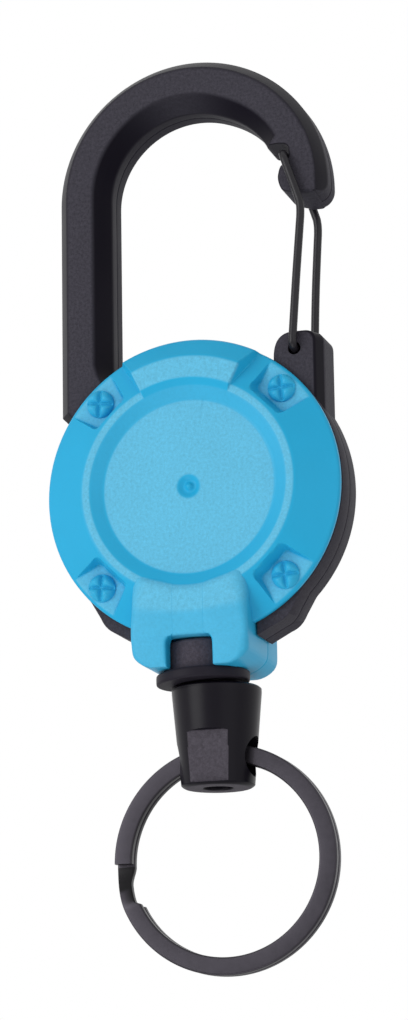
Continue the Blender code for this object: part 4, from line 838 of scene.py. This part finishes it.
def hook(black):
    """Leg and arch: a section with bevels and parting grooves, carried along the stations.

    The inner reach follows a table of (degrees round the arch, reach) from the wire's notch
    to the slanted tip, where the degrees run on by 4.3 a millimetre down the straight. The
    outer reach runs in at the leg's foot, and as a quarter circle at the tip's corner. The
    inner bevel runs out at the disc and from the notch on, and the corner eats the outer one.
    The tip is closed by rings that shrink and sink as a quarter circle.
    """
    def near_end(reach):
        """0 up to the tip's last reach of height, then growing evenly to 1."""
        return np.where(falling, np.clip(1 - (base_z - TIP_END) / reach, 0, 1), 0.0)

    base_z, turn = hook_rows()
    leg, falling = turn == 0, turn >= math.pi - 1e-6
    station = np.degrees(turn) + np.where(falling, (HOOK_HIGH - base_z) * 4.3, 0.0)
    tip_line = curve_through([(150.0, 12.6), (154.0, 12.62), (156.5, 12.95), (158.5, 14.3),
                              (160.5, 15.25), (163.0, 15.6), (168.0, 15.3), (170.5, 14.6),
                              (172.8, 13.8), (177.0, 13.4), (180.0, 13.35), (183.2, 13.5),
                              (186.5, 13.85), (188.6, 14.5), (190.3, 15.6), (191.4, 16.6)], 8)
    inner = HOOK_INNER + 0.45 * ramp(turn, 1.9, 2.6)
    disc_edge = np.sqrt(np.clip(16.25 ** 2 - base_z ** 2, 0, None)) + HOOK_LEFT
    inner = np.where(leg, np.maximum(inner, disc_edge), inner)
    inner = np.where(station > 150.0, np.interp(station, *tip_line.T), inner)
    outer = HOOK_OUTER - np.where(leg, np.clip(12.8 - base_z, 0, None), 0.0)
    outer = outer - 2.1 * (1 - quarter(near_end(2.3)))
    lean = near_end(0.6)
    front = -FRAME_HALF + 0.45 * lean ** 2
    back = FRAME_HALF - 0.25 * lean ** 3
    fade = np.where(leg, ramp(base_z, 14.5, 19.5), 1.0)
    bluff = ramp(station, 153.0, 157.5)
    bevel_in = 2.03 * fade * (1 - bluff) + 0.18 * bluff
    wall_in = -0.8 * (1 - bluff) + (front + 0.18) * bluff
    bevel_out = 1.82 - 0.65 * ramp(turn, 1.4, math.pi)
    eaten = np.where(turn > 2.0, np.clip((HOOK_OUTER - outer) / bevel_out, 0, 0.9), 0.0)
    wall_out = front + (-0.8 - front) * (1 - eaten)
    bevel_out = bevel_out * (1 - eaten)
    part, gap, dent = 1.2, 0.14, 0.10
    corners = [(inner, wall_in), (inner + bevel_in, front), (outer - bevel_out, front),
               (outer, wall_out), (outer, part - gap), (outer - dent, part),
               (outer, part + gap), (outer, back - 0.4), (outer - 0.4, back),
               (inner + 0.3, back), (inner, back - 0.3), (inner, part + gap),
               (inner + dent, part), (inner, part - gap)]
    radii = [0.35, 0.4, 0.4, 0.35, 0.03, 0.03, 0.03, 0.3, 0.3, 0.3, 0.3, 0.03, 0.03, 0.03]
    grains = [0, 1, 0, 0.5, 0.3, 0.3, 0.6, 0, 1, 0, 0.5, 0.3, 0.3, 0.4]
    section, grain = soften(corners, radii, grains)
    near_tip = ramp(station, 155.0, 160.0)[:, None]
    grain = grain + near_tip * 0.25 * (grain > 0.3) * (grain < 0.9)
    # Painted sheen: the inner bevel over the arch's top gets a lighter grained tone.
    painted_sheen = 0.6 * np.exp(-((turn - 1.45) / 0.42) ** 2)[:, None]
    grain[:, 3:7] = np.maximum(grain[:, 3:7], painted_sheen)
    y = section[..., 1]
    x, z = polar(section[..., 0], turn[:, None])
    slant = 0.55 * near_end(1.2)[:, None] ** 2 * np.clip(0.5 - y / (2 * FRAME_HALF), 0, 1)
    points = joined(HOOK_LEFT - x, y, base_z[:, None] + z + slant)
    last, middle = points[-1], points[-1].mean(axis=0)
    bend = np.linspace(0, math.pi / 2, 6)[1:, None]
    tip = middle + (last - middle) * (1 - 0.13 * (1 - np.cos(bend)))[..., None]
    tip[..., 2] = last[:, 2] - 0.25 * np.sin(bend)
    points = np.concatenate([points, tip])
    grain = np.concatenate([grain, np.full((len(tip), grain.shape[1]), 0.85)])
    return piece("hook", points, black, "housing", "black_nylon", grain=grain, sharp=38)


def frame_ring(black):
    """The open ring between the covers, from one side of the nose round to the other.

    The outline is a circle, then a straight side that leans out to a rounded corner, then a
    slanted foot, each line as distance / (n . direction); the bore is a circle. A section
    with softened edges and a parting groove fills the space between the two at each station.
    """
    start, inner_start = math.radians(-67.6), math.radians(-56.9)
    angle = np.linspace(start, math.pi - start, 480)
    below = np.where(angle < math.pi / 2, angle, math.pi - angle)
    x, z = np.cos(below), np.sin(below)
    side = 20.67 / np.maximum(0.865 * x - 0.502 * z, 0.2)
    foot = 22.68 / np.maximum(0.470 * x - 0.883 * z, 0.2)
    corner = smooth_min(side, foot, 0.9)
    outer = np.where(below < math.radians(-40), smooth_max(RING, corner, 0.15), RING)
    outer = np.where(below < math.radians(-58), corner, outer)
    inner_angle = np.interp(angle, [angle[0], angle[-1]], [inner_start, math.pi - inner_start])
    rim, part, gap, dent = FRAME_HALF, 0.3, 0.15, 0.13 / 5.5
    flat = [(0, -rim), (1, -rim), (1, part - gap), (1 - dent, part), (1, part + gap), (1, rim),
            (0, rim)]
    section, grain = soften(flat, [0.01, 0.05, 0.005, 0.005, 0.005, 0.05, 0.01],
                            [1, 0.85, 0.4, 0.4, 0.85, 1, 0])
    share, y = section[0].T
    inside = joined(*polar(RING_BORE, inner_angle))[:, None]
    outside = joined(*polar(outer, angle))[:, None]
    plan = inside + (outside - inside) * share[None, :, None]
    piece("frame_ring", joined(plan[..., 0], y, plan[..., 1]), black, "housing", "black_nylon",
          grain=grain, sharp=38)


def ear(black):
    """The ear that holds the wire's ends: a softened outline in front view, rows along y.

    Each row is the outline drawn in by the rounding of its edges, a quarter circle of 0.3,
    and its outer side also by the long bevel, 0.9 wide and 1.9 deep.
    """
    face, edge, hole_radius, steps = 3.5, 3.78, 0.92, 12
    y = spaced(-FRAME_HALF, (-face, 6), (-1.9, 8), (face, 6), (FRAME_HALF, 6))
    inset = 0.3 * (1 - quarter((np.abs(y) - face) / 0.3))
    bevel = 0.9 * np.clip((-1.9 - y) / 1.9, 0, 1)
    left, right, top = 11.75 + inset, 18.6 - inset - bevel, 21.7 - inset
    section, _ = soften([(left, 12.5), (right, 9.6), (right, top), (left, top)],
                        [0.1, 0.1, 1.6, 3.6], steps=steps)
    sides = np.full(section.shape[1], 0.85)
    sides[steps + 2:3 * steps + 2] = 0.0
    grain = np.where(((y > -edge) & (y < -1.95))[:, None], sides, 0.85)
    grain[np.abs(y) > edge] = 1.0
    made = piece("ear", joined(section[..., 0], y[:, None], section[..., 1]), black, "housing",
                 "black_nylon", grain=grain, sharp=38)
    cut(made, [bar(hole_radius, (x, 5.0 * side, WIRE_LOW), (x, 1.6 * side, WIRE_LOW))
               for x, side in zip(WIRE_HOLES, (-1, 1))])
    stored = made.data.attributes["grain"].data
    grain = read(stored, "value", kind=np.float32)
    depth = np.abs(read(made.data.vertices, "co", 3, float)[1::3])
    grain[depth > edge * MM] = 1.0
    stored.foreach_set("value", grain)


def wire(coated):
    """The gate: one round wire up the front, through the notch and down the back.

    A Catmull-Rom curve passes through the chosen points; the rear strand leans out towards
    its own hole, as the power 1.8 of the way down from the notch.
    """
    y, x = FRAME_HALF + WIRE + 0.3, WIRE_HOLES[0]
    low, knee, notch = WIRE_LOW, 39.6, 47.8
    front = [(x, -1.6, low), (x, -3.6, low + 0.02), (x, -4.45, low + 0.38),
             (14.82, -y, low + 1.3), (14.95, -y, low + 2.7), (15.55, -y, low + 10.0),
             (16.2, -y, low + 17.2), (16.36, -y, knee - 1.3), (16.34, -y, knee + 0.1),
             (16.05, -y, knee + 1.4), (14.45, -y, notch - 1.9), (14.0, -y + 0.25, notch - 0.6),
             (13.75, -y + 1.1, notch), (13.7, -1.8, notch)]
    split = WIRE_HOLES[1] - x
    rear = [(px + split * ((notch - pz) / (notch - low)) ** 1.8, -py, pz)
            for px, py, pz in front[::-1]]
    line = curve_through(front + [(13.7, 0.0, notch)] + rear, 12)
    made = piece("wire", round_tube(line, WIRE, 28), coated, "gate", "coated_wire")
    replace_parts(made, "wire_gate")


def plug(matte):
    """Docking plug: one softened profile turned about z, then sheared 2.4 degrees upwards
    to the right, as the cord lets it hang.
    """
    top, foot = -21.3, -26.95
    profile = [(0.8, top), (5.35, top), (5.35, foot + 1.5), (6.5, foot + 1.5), (6.5, foot),
               (2.6, foot), (0.8, -25.5)]
    outline, grain = soften(profile, [0.1, 0.5, 0.9, 0.4, 0.4, 0.2, 0.3],
                            [1, 1, 0.1, 0.1, 0.15, 0.1, 0.1], 5)
    reach, height = outline[0].T
    x, y = polar(reach, full_turn(128)[:, None])
    lean = math.tan(math.radians(2.4))
    points = joined(x, PLUG_Y + y, height + x * lean)
    made = piece("plug", points, matte, "key_end", "black_plug_nylon", "loop", grain, sharp=45)
    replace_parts(made, "dock_plug")


def barrel_radius(z):
    """The barrel's outer radius, which falls evenly from 6.25 to 5.12."""
    return np.interp(-z, [28.1, 40.8], [6.25, 5.12])


def barrel(satin):
    """Swivel barrel: a tapered round with two leaning flats, a foot hole and a cross hole.

    Inside a flat, where |x| is under the half width, the depth is held at the chord that
    gives that width, with steep ends.
    """
    top, foot, steps = -27.15, -41.3, 4
    profile = [(0.8, -29.9), (0.8, -29.2), (3.2, top), (5.8, top), (6.25, top - 0.35),
               (6.25, top - 0.5), (5.12, foot + 0.5), (5.12, foot + 0.4), (4.6, foot),
               (2.1, foot), (2.1, -37.0), (1.7, -37.0), (1.7, -29.9)]
    radii = [0.05, 0.2, 0.35, 0.3, 0.15, 0.1, 0.1, 0.2, 0.35, 0.3, 0.05, 0.05, 0.05]
    reach, height = soften(profile, radii, steps=steps)[0][0].T
    start = 5 * (steps + 1) + steps
    wall = spaced(height[start], (-33.1, 24), (-34.4, 26), (-40.4, 30), (height[start + 1], 8))
    reach = np.concatenate([reach[:start], barrel_radius(wall), reach[start + 2:]])
    tall = np.concatenate([height[:start], wall, height[start + 2:]])
    turn = full_turn(288)[:, None]
    half = np.interp(-tall, [33.9, 41.0], [2.95, 2.75])
    in_height = ramp(-tall, 33.4, 34.0) * fall(-tall, 40.75, 41.1)
    depth = np.sqrt(barrel_radius(tall) ** 2 - half ** 2) + 1.4 * (1 - in_height)
    flat = depth / np.maximum(np.abs(np.sin(turn)), 0.3)
    pressed = np.where(reach > 4.9, np.minimum(flat, reach), reach)
    on_flat = (reach > 4.9) & (flat < reach - 0.01) & (in_height > 0.8)
    under = (tall < foot + 0.04) & (reach < 4.8)
    middle_x, middle_y = BARREL
    hole_radius, hole_z = 2.78, -37.1
    x, y = polar(pressed, turn)
    points = joined(middle_x + x, middle_y + y, tall)
    made = piece("barrel", points, satin, "barrel", "black_nylon", "loop",
                 np.where(on_flat | under, 1.0, 0.0), sharp=30)
    cut(made, [bar(hole_radius, (-8.0, middle_y, hole_z), (10.8, middle_y, hole_z), 72)], 30)
    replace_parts(made, "swivel_barrel")


def key_ring(steel):
    """Split ring: a softened flat section wound twice round, with one step between layers.

    The angle runs twice round. The section's place along y is 0.725 times 6s^2 - 4s^3 - 1
    over the step and level elsewhere, and its inner edge is drawn in there by 0.24 of the
    width. Painted shade darkens the twisted wire over the step's second half, and along the
    inner edge from early on, and it darkens the inner side wall and a little of the outer side
    all round.
    """
    def on_step(before, values, after):
        """Values over the step, and one value each before and after it."""
        return np.concatenate([np.full(200, before), values, np.full(200, after)])[:, None]

    step, clear = math.radians(24), math.radians(1)
    s = np.linspace(0, 1, 41)[1:-1]
    run = (2 * math.pi - step - clear) * np.linspace(0, 1, 200)
    first = step / 2 + clear + run
    turn = np.concatenate([first, first[-1] + step * s, 2 * math.pi + step / 2 + run])
    angle = math.radians(193) - turn[:, None]
    inner, outer, half, apart, narrowed = 13.35, 15.85, 0.63, 0.725, 0.24
    flat = [(inner, -half), (outer, -half), (outer, half), (inner, half)]
    # Edge values of 0.8 and 0.2 darken the outer and inner side walls: painted shade.
    section, grain = soften(flat, 0.3, [1, 0.8, 1, 0.2], 6)
    width, thick = section[0].T
    level = on_step(-1.0, 6 * s ** 2 - 4 * s ** 3 - 1, 1.0)
    drawn = on_step(0.0, ramp(s, 0.0, 0.12) * fall(s, 0.55, 1.0), 0.0)
    reach = width + drawn * narrowed * (outer - width)
    x, z = polar(reach, angle)
    points = joined(RING_MIDDLE[0] + x, RING_MIDDLE[1] + level * apart + thick,
                    RING_MIDDLE[2] + z)
    # Past a slanted line over the step's second half the wire goes dark: painted shade.
    inward = (outer - width) / (outer - inner)
    bound = 0.5 - 0.42 * inward
    grain = grain * fall(on_step(0.0, s, 0.0), bound - 0.05, bound + 0.05)
    made = piece("key_ring", points, steel, "ring", "gunmetal_steel", grain=grain)
    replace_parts(made, "split_ring")


def pull_cord(cord):
    """The free cord between nose and plug: a straight round tube, its braid laid out for the
    pulled length.
    """
    top, foot, radius, pulled, pitch = -19.9, -24.6, 0.5, 550.0, 2.2
    points = round_tube(joined(0.0, PLUG_Y, np.linspace(top, foot, 49)), radius, 16)
    made = piece("pull_cord", points, cord, None, "braided_cord",
                 along=np.linspace(0, pulled / pitch, len(points)))
    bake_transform(made)


def floor():
    """Plain pale floor, under the reach of the pulled cord.

    It glows a little towards the camera alone, so it looks near white and still shows the
    reel's shadow.
    """
    wide, level = 12.0, -0.9
    mesh = bpy.data.meshes.new("floor")
    corners = [(-wide, -wide), (wide, -wide), (wide, wide), (-wide, wide)]
    mesh.from_pydata([(*corner, level) for corner in corners], [], [(0, 1, 2, 3)])
    finish = Finish("pale_floor", Roughness=0.9, Emission_Strength=1.0)
    finish.surface(finish.tint((0.86, 0.86, 0.86, 1.0), 0.99 + finish.noise(400.0) * 0.02))
    towards_camera = finish.node("LightPath", output="Is Camera Ray")
    finish.feed(finish.shader.inputs["Emission Color"],
                finish.tint((1.0, 1.0, 1.0, 1.0), towards_camera * 0.38))
    mesh.materials.append(finish.material)
    placed("floor", mesh)


def studio():
    """White all round: full strength where it is seen, mirrored or seen through, and 0.62
    where it lights the reel.
    """
    world = bpy.data.worlds.new("studio")
    world.use_nodes = True
    nodes = Nodes(world.node_tree)
    rays = nodes.node("LightPath").socket.node.outputs
    camera, glass, mirror = (Value(nodes, rays[f"Is {kind} Ray"])
                             for kind in ("Camera", "Transmission", "Glossy"))
    seen = nodes.larger(nodes.larger(camera, glass), mirror)
    strength = nodes.node("MapRange", {}, {"To Min": 0.62, "To Max": 1.0, "Value": seen})
    background = nodes.tree.nodes["Background"]
    nodes.feed(background.inputs["Color"], (1.0, 1.0, 1.0, 1.0))
    nodes.feed(background.inputs["Strength"], strength)
    bpy.context.scene.world = world
    bpy.context.scene.view_settings.view_transform = 'Standard'


def carried_over(finish, *nodes):
    """A better material for CAD nodes inside, which keep their shapes."""
    for node in nodes:
        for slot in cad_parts[node].material_slots:
            slot.material = finish


def main():
    """Camera, light, finishes and pieces."""
    make_camera()
    make_lamp("key_lamp", (-0.75, -0.9, 0.05), 0.7, 5.8)
    make_lamp("fill_lamp", (0.9, -0.8, 0.0), 0.9, 1.2)
    make_lamp("low_lamp", (-0.1, -0.45, -0.8), 0.5, 1.6)
    floor()
    studio()
    blue = moulded("sky_blue_abs", (34, 167, 213), (94, 184, 219), (0.36, 0.62), 0.035, 0.65,
                   specular=0.2)
    black = moulded("black_nylon", (17, 14, 24), (60, 58, 66), (0.4, 0.62), 0.045, 1.5,
                    specular=0.08)
    matte = moulded("black_plug_nylon", (28, 26, 34), (70, 66, 75), (0.45, 0.68), 0.05, 1.5,
                    specular=0.08)
    satin = moulded("satin_black_nylon", (14, 11, 20), (70, 66, 74), (0.34, 0.62), 0.045, 1.5,
                    specular=0.14)
    coated = metal("coated_wire", (27, 25, 30), 0.36, 0.5, (1.0, 1.0, 0.1), Metallic=0.0,
                   Specular_IOR_Level=0.3)
    gunmetal = metal("gunmetal_steel", (57, 54, 61), 0.36, 0.25, (0.3, 1.0, 0.3), painted_shade=True,
                     Metallic=0.7)
    zinc = metal("zinc_steel", (196, 196, 200), 0.32, 0.3, (1.0, 0.2, 1.0))
    spring = metal("spring_steel", (150, 154, 164), 0.28, 0.3, (1.0, 0.1, 1.0))
    acetal = moulded("white_acetal", (226, 226, 220), (220, 220, 214), (0.4, 0.55), 0.02)
    cord = braid("braided_cord", (14, 13, 15), (44, 42, 46))
    plain_cord = moulded("plain_cord", (24, 23, 26), (30, 29, 32), (0.7, 0.8), 0.05)
    front, rear = covers(blue)
    nose(blue)
    moulded_heads(blue)
    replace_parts(front, "front_cover")
    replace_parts(rear, "rear_cover")
    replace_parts(hook(black), "carabiner_frame")
    frame_ring(black)
    ear(black)
    wire(coated)
    pan_screws(zinc)
    plug(matte)
    barrel(satin)
    key_ring(gunmetal)
    pull_cord(cord)
    carried_over(acetal, "spool", "thrust_washer")
    carried_over(zinc, "spool_axle", "spring_plate", "cord_ferrule")
    carried_over(spring, "power_spring")
    carried_over(plain_cord, "wound_cord", "cord_lead", "cord_end")


main()
